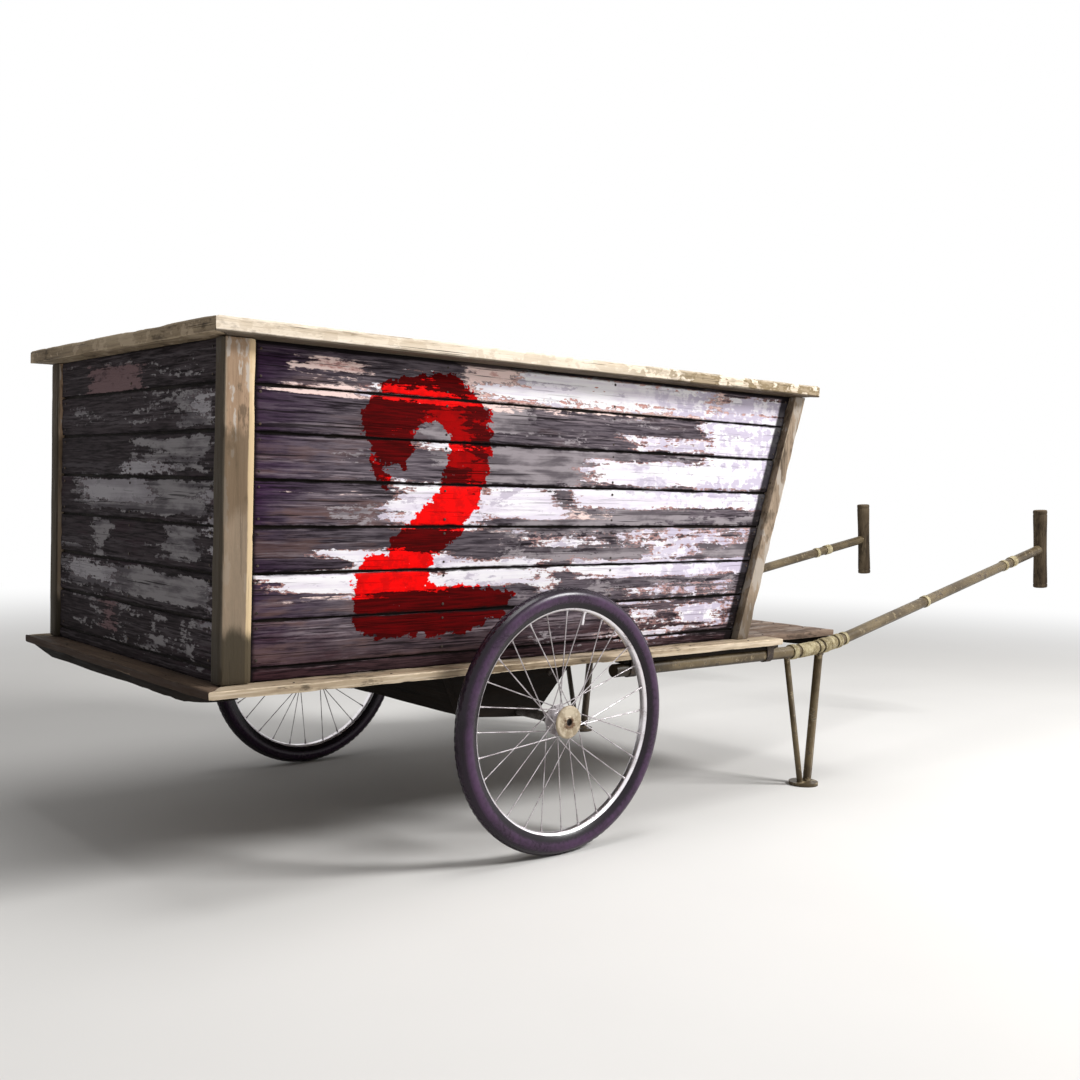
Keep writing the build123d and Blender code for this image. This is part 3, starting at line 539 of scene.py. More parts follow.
# painted shade: a darker copy of the khaki paint, for the far stand in the shade under the cart
shadedLook = dict(plainLook, paint=tone(66, 56, 45), paintDark=tone(44, 37, 30), paintLight=tone(92, 80, 64))
boltLook = dict(plainLook, paint=tone(60, 50, 46), paintDark=tone(40, 33, 30), paintLight=tone(78, 66, 56),
                spots=150, chips=0.7, sheen=0.6)
finishes = {
    "planksNear": peelingFinish("peelingPlanksNear", plankLook),
    "planksSide": peelingFinish("peelingPlanksFar", sideLook),
    "planksEnd": peelingFinish("peelingPlanksEnd", endLook),
    "planksRear": peelingFinish("greyedPlanksRear", rearShadeLook),
    "post": timberFinish("palePost", postLook),
    "postFront": timberFinish("palePostFront", frontPostLook),
    "rail": timberFinish("paleRail", railLook),
    "railEnd": timberFinish("paleRailEnd", railEndShadeLook),
    "ledge": timberFinish("paleLedge", ledgeLook),
    "ledgeRear": timberFinish("paleLedgeRear", ledgeRearShadeLook),
    "deck": timberFinish("scuffedDeck", deckLook),
    "under": timberFinish("darkTimber", underShadeLook),
    "underLong": timberFinish("darkTimberLong", dict(underShadeLook, along=0)),
    "cleat": timberFinish("darkCleat", dict(underShadeLook, along=2)),
    "grip": timberFinish("gripWood", gripLook),
    "khaki": paintedSteel("khakiPaint", khakiLook),
    "khakiShaded": paintedSteel("khakiPaintShaded", shadedLook),
    "bolt": paintedSteel("rustyFixing", boltLook),
    "axle": bareSteel("axleSteel", {"clean": tone(120, 116, 112), "dull": tone(58, 50, 46), "broad": 30,
                                    "dullRange": (0.36, 0.6), "smooth": 0.4, "dullMetal": 0.4}),
    "bright": bareSteel("brightSteel", {"clean": tone(236, 232, 236), "dull": tone(168, 158, 160), "broad": 26,
                                        "dullRange": (0.48, 0.68), "smooth": 0.33, "dullMetal": 0.7}),
    "spoke": bareSteel("spokeSteel", {"clean": tone(192, 187, 189), "dull": tone(136, 127, 129), "broad": 26,
                                      "dullRange": (0.42, 0.62), "smooth": 0.44, "dullMetal": 0.5}),
    "rubber": rubberFinish(),
    "cap": capFinish(),
}
print("finishes made:", len(finishes))


def settle(mesh, name, body, finish=None, replaced=(), sharp=32):
    # a finished mesh becomes a piece that rides on its body
    if finish:
        mesh.materials.append(finishes[finish])
    mesh.polygons.foreach_set("use_smooth", [True] * len(mesh.polygons))
    mesh.set_sharp_from_angle(angle=math.radians(sharp))
    piece = placed(name, mesh)
    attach(piece, body)
    if replaced:
        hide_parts(*replaced)


def meshOf(bm, name):
    mesh = bpy.data.meshes.new(name)
    bm.to_mesh(mesh)
    bm.free()
    return mesh


def joined(meshes, name):
    bm = bmesh.new()
    for mesh in meshes:
        bm.from_mesh(mesh)
    return meshOf(bm, name)


def addField(mesh, name, values):
    layer = mesh.attributes.new(name, "FLOAT", "POINT")
    layer.data.foreach_set("value", np.asarray(values, np.float32))


def pointsOf(mesh):
    points = np.zeros(len(mesh.vertices) * 3, np.float32)
    mesh.vertices.foreach_get("co", points)
    return points.reshape(-1, 3).astype(float)


def mergedCopy(node):
    bm = bmesh.new()
    bm.from_mesh(nodes[node].data)
    bmesh.ops.remove_doubles(bm, verts=bm.verts[:], dist=1e-5)
    return bm


def boxCopy(node):
    # a square bar over the bounds of the node
    bm = bmesh.new()
    spans = [(min(values), max(values)) for values in zip(*nodes[node].bound_box)]
    low, high = [Vector([span[end] for span in spans]) for end in (0, 1)]
    fit = Matrix.Translation((low + high) / 2) @ Matrix.Diagonal(high - low).to_4x4()
    bmesh.ops.create_cube(bm, size=1.0, matrix=fit)
    return bm


def smoothCopy(node, name, body, finish, sharp=30):
    # the same shape with its facets shaded smooth
    bm = mergedCopy(node)
    bmesh.ops.dissolve_limit(bm, angle_limit=math.radians(0.5), verts=bm.verts[:], edges=bm.edges[:])
    mesh = meshOf(bm, name)
    # this field carries the painted shade on the undersides
    addField(mesh, "under", [max(-vert.normal.z, 0) for vert in mesh.vertices])    # 1 where a tube faces the ground
    settle(mesh, name, body, finish, (node,), sharp)


def boardGroups(bm):
    # the boards of a mesh, each as the numbers of its corners
    bm.verts.index_update()
    seen, groups = set(), []
    for first in bm.verts:
        if first.index in seen:
            continue
        seen.add(first.index)
        stack, group = [first], []
        while stack:
            vert = stack.pop()
            group.append(vert.index)
            for link in vert.link_edges:
                other = link.other_vert(vert)
                if other.index not in seen:
                    seen.add(other.index)
                    stack.append(other)
        groups.append(group)
    return groups


def nearestEdge(points, segments):
    # distance of each point from the nearest edge that wears
    best = np.full(len(points), 1e3)
    for start, end in segments:
        run = end - start
        share = np.clip(((points - start) @ run) / (run @ run), 0, 1)
        best = np.minimum(best, np.linalg.norm(points - start - share[:, None] * run, axis=1))
    return best


wear = {
    "hardFrom": 20,        # degrees between the faces of an edge that wears
    "reach": 0.0075,       # metres from the edge
    "grainLong": 9.0, "grainAcross": 55.0, "chipsFrom": -0.1,
    "nickScale": 34, "nicksFrom": 0.34, "nickDepth": 1.6,
    "rough": 0.00035,      # unevenness of the flat faces, in metres
}


def wornTimber(node, name, finish, work, dress=None):
    # a copy of the board's CAD mesh with rounded, ragged edges, a grid to carry paint, and boards that don't line up
    bm = boxCopy(node) if work.get("square") else mergedCopy(node)
    bmesh.ops.dissolve_limit(bm, angle_limit=math.radians(1), verts=bm.verts[:], edges=bm.edges[:])
    hard = [e for e in bm.edges if e.is_manifold and e.calc_face_angle(0) > math.radians(wear["hardFrom"])]
    segments = [[np.array(vert.co) for vert in e.verts] for e in hard
                if not work.get("grainEdges")    # only the long edges of posts and rails wear
                or abs((e.verts[1].co - e.verts[0].co).normalized()[work["grain"]]) > 0.7]
    bmesh.ops.bevel(bm, geom=hard, offset=work["round"], segments=2, profile=0.6, affect="EDGES", clamp_overlap=True)
    for axis, step in enumerate(work["cuts"]):
        if step:
            low = min(v.co[axis] for v in bm.verts)
            high = max(v.co[axis] for v in bm.verts)
            count = max(2, round((high - low) / step))
            normal = Vector([1.0 if index == axis else 0.0 for index in range(3)])
            for cut in range(1, count):
                bmesh.ops.bisect_plane(bm, geom=bm.verts[:] + bm.edges[:] + bm.faces[:], dist=1e-6,
                                       plane_co=normal * (low + (high - low) * cut / count), plane_no=normal)
    bm.normal_update()
    groups = boardGroups(bm)
    points = np.array([v.co[:] for v in bm.verts])
    normals = np.array([v.normal[:] for v in bm.verts])
    groups.sort(key=lambda group: tuple(points[group].mean(0).round(4)))
    edge = nearestEdge(points, segments)
    dice = random.Random(work["seed"])
    board = np.zeros(len(points))
    shift = np.zeros_like(points)
    for group in groups:
        board[group] = dice.random()
        shift[group] = np.array(work["inward"]) * dice.random() * work["sway"]
    grainScale = np.array(along(work["grain"], wear["grainLong"], wear["grainAcross"]))
    seedStep = Vector((work["seed"] * 1.7, 0.3, 2.1))
    ragged = np.array([noise.noise(Vector(p * grainScale) + seedStep) for p in points])
    nicks = np.array([noise.noise(Vector(p * wear["nickScale"]) + seedStep * 2) for p in points])
    reach = np.clip(1 - edge / wear["reach"], 0, 1)
    chipped = np.clip(ragged - wear["chipsFrom"], 0, 1) + wear["nickDepth"] * np.clip(nicks - wear["nicksFrom"], 0, 1)
    depth = reach * work["chip"] * chipped + wear["rough"] * (1 + ragged)
    for vert, place in zip(bm.verts, points - normals * depth[:, None] + shift):
        vert.co = place
    mesh = meshOf(bm, name)
    addField(mesh, "edge", edge)
    addField(mesh, "board", board)
    if dress:
        dress(mesh, points)
    settle(mesh, name, "cart", finish, (node,))


def turned(profile, origin, axis, count, closed=True):
    # a lathed shape: profile is (radius, distance along the axis) in metres
    axis = Vector(axis).normalized()
    across = axis.orthogonal().normalized()
    other = axis.cross(across)
    origin = Vector(origin)
    bm = bmesh.new()
    rings = []
    for step in range(count):
        turn = 2 * math.pi * step / count
        spoke = across * math.cos(turn) + other * math.sin(turn)
        rings.append([bm.verts.new(origin + spoke * radius + axis * out) for radius, out in profile])
    size = len(profile)
    for step in range(count):
        here, there = rings[step], rings[(step + 1) % count]
        for index in range(size if closed else size - 1):
            after = (index + 1) % size
            bm.faces.new((here[index], there[index], there[after], here[after]))
    bmesh.ops.remove_doubles(bm, verts=bm.verts[:], dist=1e-7)
    bmesh.ops.recalc_face_normals(bm, faces=bm.faces[:])
    return meshOf(bm, "turned")


def skin(bm, rings):
    # joins each ring of corners to the next, and closes both ends
    for here, there in zip(rings[:-1], rings[1:]):
        for side in range(len(here)):
            after = (side + 1) % len(here)
            bm.faces.new((here[side], here[after], there[after], there[side]))
    bm.faces.new(reversed(rings[0]))
    bm.faces.new(rings[-1])


def wire(bm, points, radii, sides=8):
    # a round bar along points, closed at both ends
    points = [Vector(p) for p in points]
    rings = []
    across = (points[1] - points[0]).orthogonal().normalized()
    for index, place in enumerate(points):
        before, after = points[max(index - 1, 0)], points[min(index + 1, len(points) - 1)]
        run = (after - before).normalized()
        across = (across - run * across.dot(run)).normalized()
        other = run.cross(across)
        rings.append([bm.verts.new(place + (across * math.cos(2 * math.pi * side / sides)
                                            + other * math.sin(2 * math.pi * side / sides)) * radii[index])
                      for side in range(sides)])
    skin(bm, rings)


def hexahedron(bm, corners):
    # eight corners: low before high, then the two ways across
    verts = [bm.verts.new(corner) for corner in corners]
    for face in ((0, 1, 3, 2), (4, 6, 7, 5), (0, 4, 5, 1), (2, 3, 7, 6), (0, 2, 6, 4), (1, 5, 7, 3)):
        bm.faces.new([verts[index] for index in face])


class Recipe(NodeTree):
    # one Geometry Nodes tree with named inputs
    def __init__(self, name, inputs):
        super().__init__(bpy.data.node_groups.new(name, "GeometryNodeTree"))
        face = self.tree.interface
        face.new_socket("Geometry", in_out="INPUT", socket_type="NodeSocketGeometry")
        for label, kind, value in inputs:
            socket = face.new_socket(label, in_out="INPUT", socket_type="NodeSocket" + kind)
            if value is not None:
                socket.default_value = value
        face.new_socket("Geometry", in_out="OUTPUT", socket_type="NodeSocketGeometry")
        self.ports = self.add("NodeGroupInput").outputs
        self.exit = self.add("NodeGroupOutput")

    def instances(self, points, shape, **settings):
        return self.add("GeometryNodeInstanceOnPoints", {"Points": points, "Instance": shape, **settings}).outputs[0]

    def turned(self, rotation, step):
        return self.add("FunctionNodeRotateRotation", {"Rotation": rotation, "Rotate By": step},
                        rotation_space="LOCAL").outputs[0]

    def end(self, geometry):
        # makes the copies real and gives them the finish
        real = self.add("GeometryNodeRealizeInstances", {"Geometry": geometry})
        dressed = self.add("GeometryNodeSetMaterial", {"Geometry": real.outputs[0],
                                                       "Material": self.ports["Finish"]})
        self.put(self.exit.inputs[0], dressed.outputs[0])
        return self


def grow(recipe, base, name, values):
    # runs a recipe on a base mesh and gives its result as a plain mesh
    holder = placed(name + "Base", base)
    modifier = holder.modifiers.new(name, "NODES")
    modifier.node_group = recipe.tree
    sockets = {item.name: item.identifier for item in recipe.tree.interface.items_tree
               if item.item_type == "SOCKET" and item.in_out == "INPUT"}
    for label, value in values.items():
        modifier[sockets[label]] = value
    graph = bpy.context.evaluated_depsgraph_get()
    mesh = bpy.data.meshes.new_from_object(holder.evaluated_get(graph), depsgraph=graph)
    mesh.name = name
    holder.modifiers.remove(modifier)
    bpy.data.objects.remove(holder)
    return mesh


def pointCloud(rows, name):
    # rows of (place, facing): the base that a scatter recipe works on
    mesh = bpy.data.meshes.new(name)
    mesh.from_pydata([tuple(place) for place, _ in rows], [], [])
    layer = mesh.attributes.new("facing", "FLOAT_VECTOR", "POINT")
    layer.data.foreach_set("vector", np.array([tuple(facing) for _, facing in rows], np.float32).ravel())
    return mesh


wholeTurn = 6.28    # radians that a nail or a turn of cord may be twisted by


def makeRingRecipe():
    # repeats a shape round the Y axis of a wheel
    recipe = Recipe("roundTheWheel", [("Count", "Int", 7), ("Centre", "Vector", (0, 0, 0)),
                                      ("Finish", "Material", None)])
    ports = recipe.ports
    line = recipe.add("GeometryNodeMeshLine", {"Count": ports["Count"], "Offset": (0, 0, 0)})
    step = recipe.maths("DIVIDE", 2 * math.pi, ports["Count"])
    turn = recipe.times(recipe.add("GeometryNodeInputIndex").outputs[0], step)
    spin = recipe.add("FunctionNodeAxisAngleToRotation", {"Axis": (0, 1, 0), "Angle": turn})
    copies = recipe.instances(line.outputs[0], ports["Geometry"], Rotation=spin.outputs[0])
    moved = recipe.add("GeometryNodeTransform", {"Geometry": copies, "Translation": ports["Centre"]})
    return recipe.end(moved.outputs[0])


def makeScatterRecipe():
    # sets a small shape on each point, facing the way that the point says
    recipe = Recipe("fixingsOnPoints", [("Shape", "Object", None), ("Least", "Float", 0.85), ("Most", "Float", 1.15),
                                        ("Seed", "Int", 3), ("Finish", "Material", None)])
    ports = recipe.ports
    shape = recipe.add("GeometryNodeObjectInfo", {"Object": ports["Shape"]})
    facing = recipe.add("GeometryNodeInputNamedAttribute", {"Name": "facing"}, data_type="FLOAT_VECTOR")
    upright = recipe.add("FunctionNodeAlignRotationToVector", {"Vector": facing.outputs["Attribute"]}, axis="Z")
    twist = recipe.add("FunctionNodeRandomValue", {"Min": (0, 0, 0), "Max": (0, 0, wholeTurn), "Seed": ports["Seed"]},
                       data_type="FLOAT_VECTOR")
    size = recipe.add("FunctionNodeRandomValue", {2: ports["Least"], 3: ports["Most"], "Seed": ports["Seed"]},
                      data_type="FLOAT")
    return recipe.end(recipe.instances(ports["Geometry"], shape.outputs["Geometry"], Scale=size.outputs[1],
                                       Rotation=recipe.turned(upright.outputs[0], twist.outputs[0])))


def makeWrapRecipe():
    # turns of cord round a tube: rings along a line, each a little out of true
    recipe = Recipe("cordRoundTube", [("Centre", "Vector", (0, 0, 0)), ("Direction", "Vector", (1, 0, 0)),
                                      ("Length", "Float", 0.02), ("Tube radius", "Float", 0.018),
                                      ("Cord radius", "Float", 0.0018), ("Unevenness", "Float", 0.06),
                                      ("Seed", "Int", 1), ("Finish", "Material", None)])
    ports = recipe.ports
    pitch = recipe.times(ports["Cord radius"], 1.75)
    count = recipe.maths("MAXIMUM", recipe.maths("ROUND", recipe.maths("DIVIDE", ports["Length"], pitch)), 2)
    half = recipe.times(ports["Length"], 0.5)
    forward = recipe.vector("NORMALIZE", ports["Direction"])
    start, end = [recipe.vector("ADD", ports["Centre"], recipe.vector("SCALE", forward, Scale=reach))
                  for reach in (recipe.times(half, -1), half)]
    line = recipe.add("GeometryNodeMeshLine", {"Count": count, "Start Location": start, "Offset": end},
                      mode="END_POINTS")
    ring = recipe.add("GeometryNodeCurvePrimitiveCircle",
                      {"Resolution": 36, "Radius": recipe.maths("ADD", ports["Tube radius"], ports["Cord radius"])})
    cord = recipe.add("GeometryNodeCurvePrimitiveCircle", {"Resolution": 8, "Radius": ports["Cord radius"]})
    loop = recipe.add("GeometryNodeCurveToMesh", {"Curve": ring.outputs[0], "Profile Curve": cord.outputs[0]})
    facing = recipe.add("FunctionNodeAlignRotationToVector", {"Vector": forward}, axis="Z")
    least, most = [recipe.add("ShaderNodeCombineXYZ", {0: uneven, 1: uneven, 2: turn}).outputs[0]
                   for uneven, turn in ((recipe.times(ports["Unevenness"], -1), 0.0),
                                        (ports["Unevenness"], wholeTurn))]
    tilt = recipe.add("FunctionNodeRandomValue", {0: least, 1: most, "Seed": ports["Seed"]}, data_type="FLOAT_VECTOR")
    return recipe.end(recipe.instances(line.outputs[0], loop.outputs[0],
                                       Rotation=recipe.turned(facing.outputs[0], tilt.outputs[0])))


ringRecipe = makeRingRecipe()
scatterRecipe = makeScatterRecipe()
wrapRecipe = makeWrapRecipe()
print("node trees made")


# paint left on a wall, by coat: from, to, lowest, highest, how much; millimetres from the axle and the ground
nearPatches = {
    "paintWhite": (
        (640, 1060, 965, 1125, 1.0), (205, 960, 915, 980, 0.98), (112, 960, 852, 906, 0.95),
        (-170, 92, 826, 902, 1.0), (-760, -560, 684, 700, 1.15), (-690, -510, 662, 706, 1.25),
        (-590, -440, 730, 750, 0.95), (-190, 150, 1112, 1150, 0.82), (-320, 30, 664, 716, 0.95),
        (130, 830, 664, 712, 0.8), (460, 610, 718, 748, 0.8), (530, 730, 530, 584, 0.85),
        (350, 445, 550, 571, 0.85), (5, 90, 640, 696, 0.95), (-437, -290, 887, 905, 0.9),
        (-414, -346, 824, 844, 0.85), (-470, -230, 1096, 1124, 0.95), (-400, -160, 800, 905, 0.95),
        (-525, -300, 655, 745, 1.2), (-320, -200, 985, 1002, 0.8), (-44, 700, 1110, 1198, 0.68),
        (700, 1060, 1130, 1190, 0.7), (-100, 1000, 740, 800, 0.42), (250, 1000, 480, 660, 0.38),
        (300, 1060, 1000, 1060, 0.55), (-500, -300, 1150, 1175, 0.55)),
    "paintPink": (
        (-722, -440, 1138, 1180, 0.72), (-756, -440, 1088, 1120, 0.72), (-740, -480, 872, 900, 0.5),
        (-700, -420, 640, 660, 0.5), (-200, 720, 1104, 1194, 1.08), (-200, 900, 750, 800, 0.45),
        (-200, 250, 815, 890, 0.5), (-150, 120, 1085, 1100, 0.6), (200, 900, 500, 640, 0.4),
        (450, 1000, 1120, 1190, 0.6)),
    "paintGrey": (
        (-190, 40, 1030, 1110, 0.8), (-190, 420, 900, 1010, 0.72), (0, 1060, 1004, 1100, 0.36),
        (480, 1060, 985, 1060, 0.7), (-180, 1060, 700, 1000, 0.6), (-120, 1000, 590, 700, 0.5),
        (-60, 1000, 475, 590, 0.3), (-330, -190, 950, 1085, 0.9), (-560, -400, 900, 990, 0.42),
        (-600, -440, 740, 880, 0.35)),
}
rearPatches = {
    "paintWhite": (
        (-440, -330, 1030, 1092, 0.75), (-240, 40, 908, 940, 0.8), (-120, 300, 842, 900, 0.9),
        (-452, -400, 740, 880, 0.8), (20, 430, 630, 692, 0.6), (-452, -420, 560, 690, 0.7)),
    "paintPink": (
        (-90, 290, 1104, 1172, 0.78), (40, 190, 520, 600, 0.6)),
    "paintGrey": (
        (-100, 330, 1112, 1130, 0.6), (-452, -250, 1012, 1100, 0.95), (-452, 60, 912, 1000, 0.62),
        (-452, 330, 820, 900, 0.95), (-452, -160, 722, 798, 0.8), (140, 230, 700, 800, 0.85),
        (150, 450, 712, 730, 0.8), (-452, 440, 622, 690, 0.85), (150, 200, 560, 640, 0.7),
        (-440, 440, 490, 610, 0.42), (-452, 452, 1010, 1190, 0.38)),
}
# strokes of the figure on the near wall: along from the axle, height, half width; millimetres
numeral = {
    "stretch": 1.22,    # strokes are wider along the boards than they are tall
    "strokes": (
        ((-400, 952, 13), (-430, 996, 48), (-438, 1046, 60), (-406, 1088, 55), (-356, 1106, 53), (-278, 1109, 58),
         (-210, 1063, 54), (-198, 1005, 49), (-210, 943, 53), (-228, 882, 50), (-270, 826, 51), (-330, 781, 51),
         (-377, 742, 48)),
        ((-477, 950, 10), (-445, 905, 12)),
        ((-457, 687, 53), (-383, 700, 54)), ((-457, 675, 53), (-451, 607, 56)), ((-386, 690, 50), (-386, 620, 50)),
        ((-451, 605, 56), (-349, 606, 59), (-225, 602, 58), (-122, 611, 39), (-77, 626, 15)),
    ),
}


paintEdge = {
    "soft": 15, "drawn": 7,    # millimetres that a patch fades over, and how much longer that is along the boards
    "depth": 0.004,            # metres that paint reaches into the joints and round the ends
}


def coatFields(mesh, along, height, inward, patches):
    # half of a patch's amount at its edge, fading over a long way along the boards and a short way across
    outside = np.clip(1.4 - inward / paintEdge["depth"], 0, 1)
    for coat, rows in patches.items():
        value = np.zeros(len(along))
        for start, end, low, high, amount in rows:
            over = np.maximum(start - along, along - end) / paintEdge["drawn"]
            above = np.maximum(low - height, height - high)
            gap = np.hypot(np.maximum(over, 0), np.maximum(above, 0)) + np.minimum(np.maximum(over, above), 0)
            value = np.maximum(value, amount * np.clip(0.5 - gap / (2 * paintEdge["soft"]), 0, 1))
        addField(mesh, coat, value * outside)


def figureField(mesh, along, height, inward):
    best = np.full(len(along), 1e4)
    wide = numeral["stretch"]
    for stroke in numeral["strokes"]:
        for (x0, z0, r0), (x1, z1, r1) in zip(stroke[:-1], stroke[1:]):
            dx, dz = (x1 - x0) / wide, z1 - z0
            share = np.clip(((along - x0) / wide * dx + (height - z0) * dz) / (dx * dx + dz * dz), 0, 1)
            gap = np.hypot((along - x0) / wide - share * dx, height - z0 - share * dz)
            best = np.minimum(best, gap - (r0 + (r1 - r0) * share))
    addField(mesh, "figure", best / 1000 + np.maximum(inward - paintEdge["depth"], 0) * 40)


chance = {    # millimetres, and the least and most paint of each coat
    "rows": (480, 1190), "length": (120, 620), "height": (14, 60),
    "coats": (("paintWhite", 0.6, 1.0), ("paintPink", 0.4, 0.65), ("paintGrey", 0.45, 0.85)),
}


def chancePatches(seed, start, end, amount):
    # paint left here and there on the walls that the photograph doesn't show
    dice = random.Random(seed)
    patches = {}
    for coat, least, most in chance["coats"]:
        patches[coat] = []
        for _ in range(amount):
            middle, row = dice.uniform(start, end), dice.uniform(*chance["rows"])
            length, tall = dice.uniform(*chance["length"]), dice.uniform(*chance["height"])
            patches[coat].append((middle - length / 2, middle + length / 2, row - tall / 2, row + tall / 2,
                                  dice.uniform(least, most)))
    return patches


def dressNear(mesh, points):
    along, height = (points[:, 0] - axleX) * 1000, points[:, 2] * 1000
    inward = points[:, 1] + wallPlanes["side"]
    coatFields(mesh, along, height, inward, nearPatches)
    figureField(mesh, along, height, inward)


def dressLeft(mesh, points):
    coatFields(mesh, (points[:, 0] - axleX) * 1000, points[:, 2] * 1000, wallPlanes["side"] - points[:, 1],
               chancePatches(11, -700, 900, 12))


def dressRear(mesh, points):
    coatFields(mesh, points[:, 1] * 1000, points[:, 2] * 1000, points[:, 0] - wallPlanes["rear"], rearPatches)


def dressFront(mesh, points):
    face = wallPlanes["frontFoot"] + leaned(points[:, 2])
    coatFields(mesh, points[:, 1] * 1000, points[:, 2] * 1000, (face - points[:, 0]) * 0.95,    # square to the lean
               chancePatches(23, -400, 400, 9))


boardWork = {"cuts": (0.012, 0, 0.011), "round": 0.0022, "chip": 0.004, "sway": 0.0012, "inward": (0, 1, 0),
             "grain": 0, "seed": 5}
wornTimber("planks_right", "wallPlanksRight", "planksNear", boardWork, dressNear)
wornTimber("planks_left", "wallPlanksLeft", "planksSide",
           dict(boardWork, cuts=(0.02, 0, 0.016), inward=(0, -1, 0), seed=8), dressLeft)
endWork = dict(boardWork, cuts=(0, 0.014, 0.014), grain=1)
wornTimber("planks_rear", "wallPlanksRear", "planksRear", dict(endWork, inward=(1, 0, 0), seed=6),
           dressRear)
wornTimber("planks_front", "wallPlanksFront", "planksEnd",
           dict(endWork, inward=(-1, 0, 0), seed=9), dressFront)

tongue = {"joints": [0.502 + 0.101 * row for row in range(7)], "reach": 0.003, "gap": 0.004, "half": 0.003,
          "rearAhead": -0.782, "frontShort": 0.0379, "endHalf": 0.4575, "middle": 0.011}


def plankTongues():
    # thin dark strips in the middle of the boards' thickness, so that no light comes through the joints: a dark sheet
    # standing in for the shade there
    bm = bmesh.new()
    size = tongue
    for joint in size["joints"]:
        low, high = joint - size["gap"] - size["reach"], joint + size["reach"]
        face = {z: wallPlanes["frontFoot"] + leaned(z) for z in (low, high)}
        rear = wallPlanes["rear"] + size["middle"]
        sideY = wallPlanes["side"] - size["middle"]
        for side in (-1, 1):
            hexahedron(bm, [(x, side * sideY + y, z) for z in (low, high)
                            for x in (axleX + size["rearAhead"], face[z] - size["frontShort"])
                            for y in (-size["half"], size["half"])])
        hexahedron(bm, [(rear + x, y, z) for z in (low, high) for x in (-size["half"], size["half"])
                        for y in (-size["endHalf"], size["endHalf"])])
        hexahedron(bm, [(face[z] - size["middle"] * 1.05 + x, y, z) for z in (low, high)
                        for x in (-size["half"], size["half"]) for y in (-size["endHalf"], size["endHalf"])])
    bmesh.ops.recalc_face_normals(bm, faces=bm.faces[:])
    mesh = meshOf(bm, "plankTongues")
    addField(mesh, "edge", np.full(len(mesh.vertices), 0.05))
    addField(mesh, "board", np.zeros(len(mesh.vertices)))
    settle(mesh, "plankTongues", "cart", "underLong")


plankTongues()
print("wall planks worn, painted and closed at the joints")

frameWork = {"across": 0.012, "grainEdges": True, "sway": 0, "inward": (0, 0, 0), "seed": 30}
timberRows = (    # nodes, finish, slot, axis of the grain, spacing of the cuts, edge rounding, depth of the chips
    ("post_rear_right", "post", "pale_timber", 2, 0.012, 0.008, 0.005),
    ("post_rear_left", "post", "pale_timber", 2, 0.02, 0.008, 0.005),
    ("post_front_right", "postFront", "pale_timber", 2, 0.012, 0.003, 0.005),
    ("post_front_left", "postFront", "pale_timber", 2, 0.02, 0.003, 0.005),
    ("rim_right", "rail", "pale_timber", 0, 0.01, 0.0025, 0.0055),
    ("rim_left", "rail", "pale_timber", 0, 0.02, 0.0025, 0.0055),
    ("rim_rear", "railEnd", "pale_timber", 1, 0.012, 0.0025, 0.0055),
    ("rim_front", "railEnd", "pale_timber", 1, 0.02, 0.0025, 0.0055),
    ("ledge_right", "ledge", "pale_timber", 0, 0.012, 0.003, 0.0055),
    ("ledge_left", "ledge", "pale_timber", 0, 0.02, 0.003, 0.0055),
    ("ledge_rear", "ledgeRear", "pale_timber", 1, 0.014, 0.003, 0.006),
    ("floor_boards", "deck", "floor_timber", 0, 0.03, 0.0025, 0.004),
    ("bearers_rear bearers_front", "under", "under_timber", 1, 0.03, 0.003, 0.004),
    ("bolster_board_bottom bolster_board_front bolster_board_rear", "under", "under_timber", 1, 0.04, 0.002, 0.003),
    ("bolster_cheek_left bolster_cheek_right", "underLong", "under_timber", 0, 0.03, 0.002, 0.003),
    ("blocks_left blocks_right", "underLong", "under_timber", 0, 0.012, 0.0015, 0.002),
    ("cleats_left cleats_right cleat_rear cleat_front", "cleat", "under_timber", 2, 0.03, 0.002, 0.003),
)
timbers = [(node, *row[1:]) for row in timberRows for node in row[0].split()]
for number, (node, finish, slot, grain, step, rounding, chip) in enumerate(timbers):
    first, *others = node.split("_")
    cuts = tuple(step if index == grain else max(step, frameWork["across"]) for index in range(3))
    wornTimber(node, first + "".join(word.capitalize() for word in others) + "Timber", finish,
               dict(frameWork, cuts=cuts, grain=grain, round=rounding, chip=chip, seed=frameWork["seed"] + number,
                    square=node.startswith("post_rear")))
print("frame timbers worn:", len(timbers))

wheelSize = {
    "section": 0.306, "tyreRound": 0.024, "tyreSteps": 160, "rimSteps": 180, "hubSteps": 64, "capSteps": 72,
    "underTread": 0.0009, "groove": 0.0017, "grooveAt": (14, 35),    # depths; degrees from the crown
    "spokePairs": 7, "holeStep": 360 / 14, "holeRadius": 0.034, "rimRadius": 0.2727, "crossings": 2,
    "wire": 0.00145, "flangeHalf": 0.0016, "outerFlange": 0.012, "innerFlange": -0.024, "rimOut": 0.003,
    # along each piece: distance and radius there
    "spokeHead": ((0.0006, 0.0012), (0.0001, 0.0027), (-0.0009, 0.0028)),
    "nippleLength": 0.013, "nipple": ((0, 0.0021), (0.008, 0.0022), (0.0085, 0.0029), (0.0142, 0.0030)),
    "valveAt": (0.2738, 12.9),    # radius and degrees
    "valve": ((0, 0.0058), (0.003, 0.0052), (0.0032, 0.0032), (0.020, 0.0030), (0.0202, 0.0040), (0.031, 0.0039),
              (0.033, 0.0026)),
    "treadCount": 96,
    "treadBars": ((0, 0.0150, 0.0060, 0.0), (20, 0.0120, 0.0042, 0.5), (-20, 0.0120, 0.0042, 0.5)),
    "treadSteps": ((-0.0014, 1.0), (-0.0003, 1.0), (0.0, 0.78)),    # height over the crown and share of the width
}


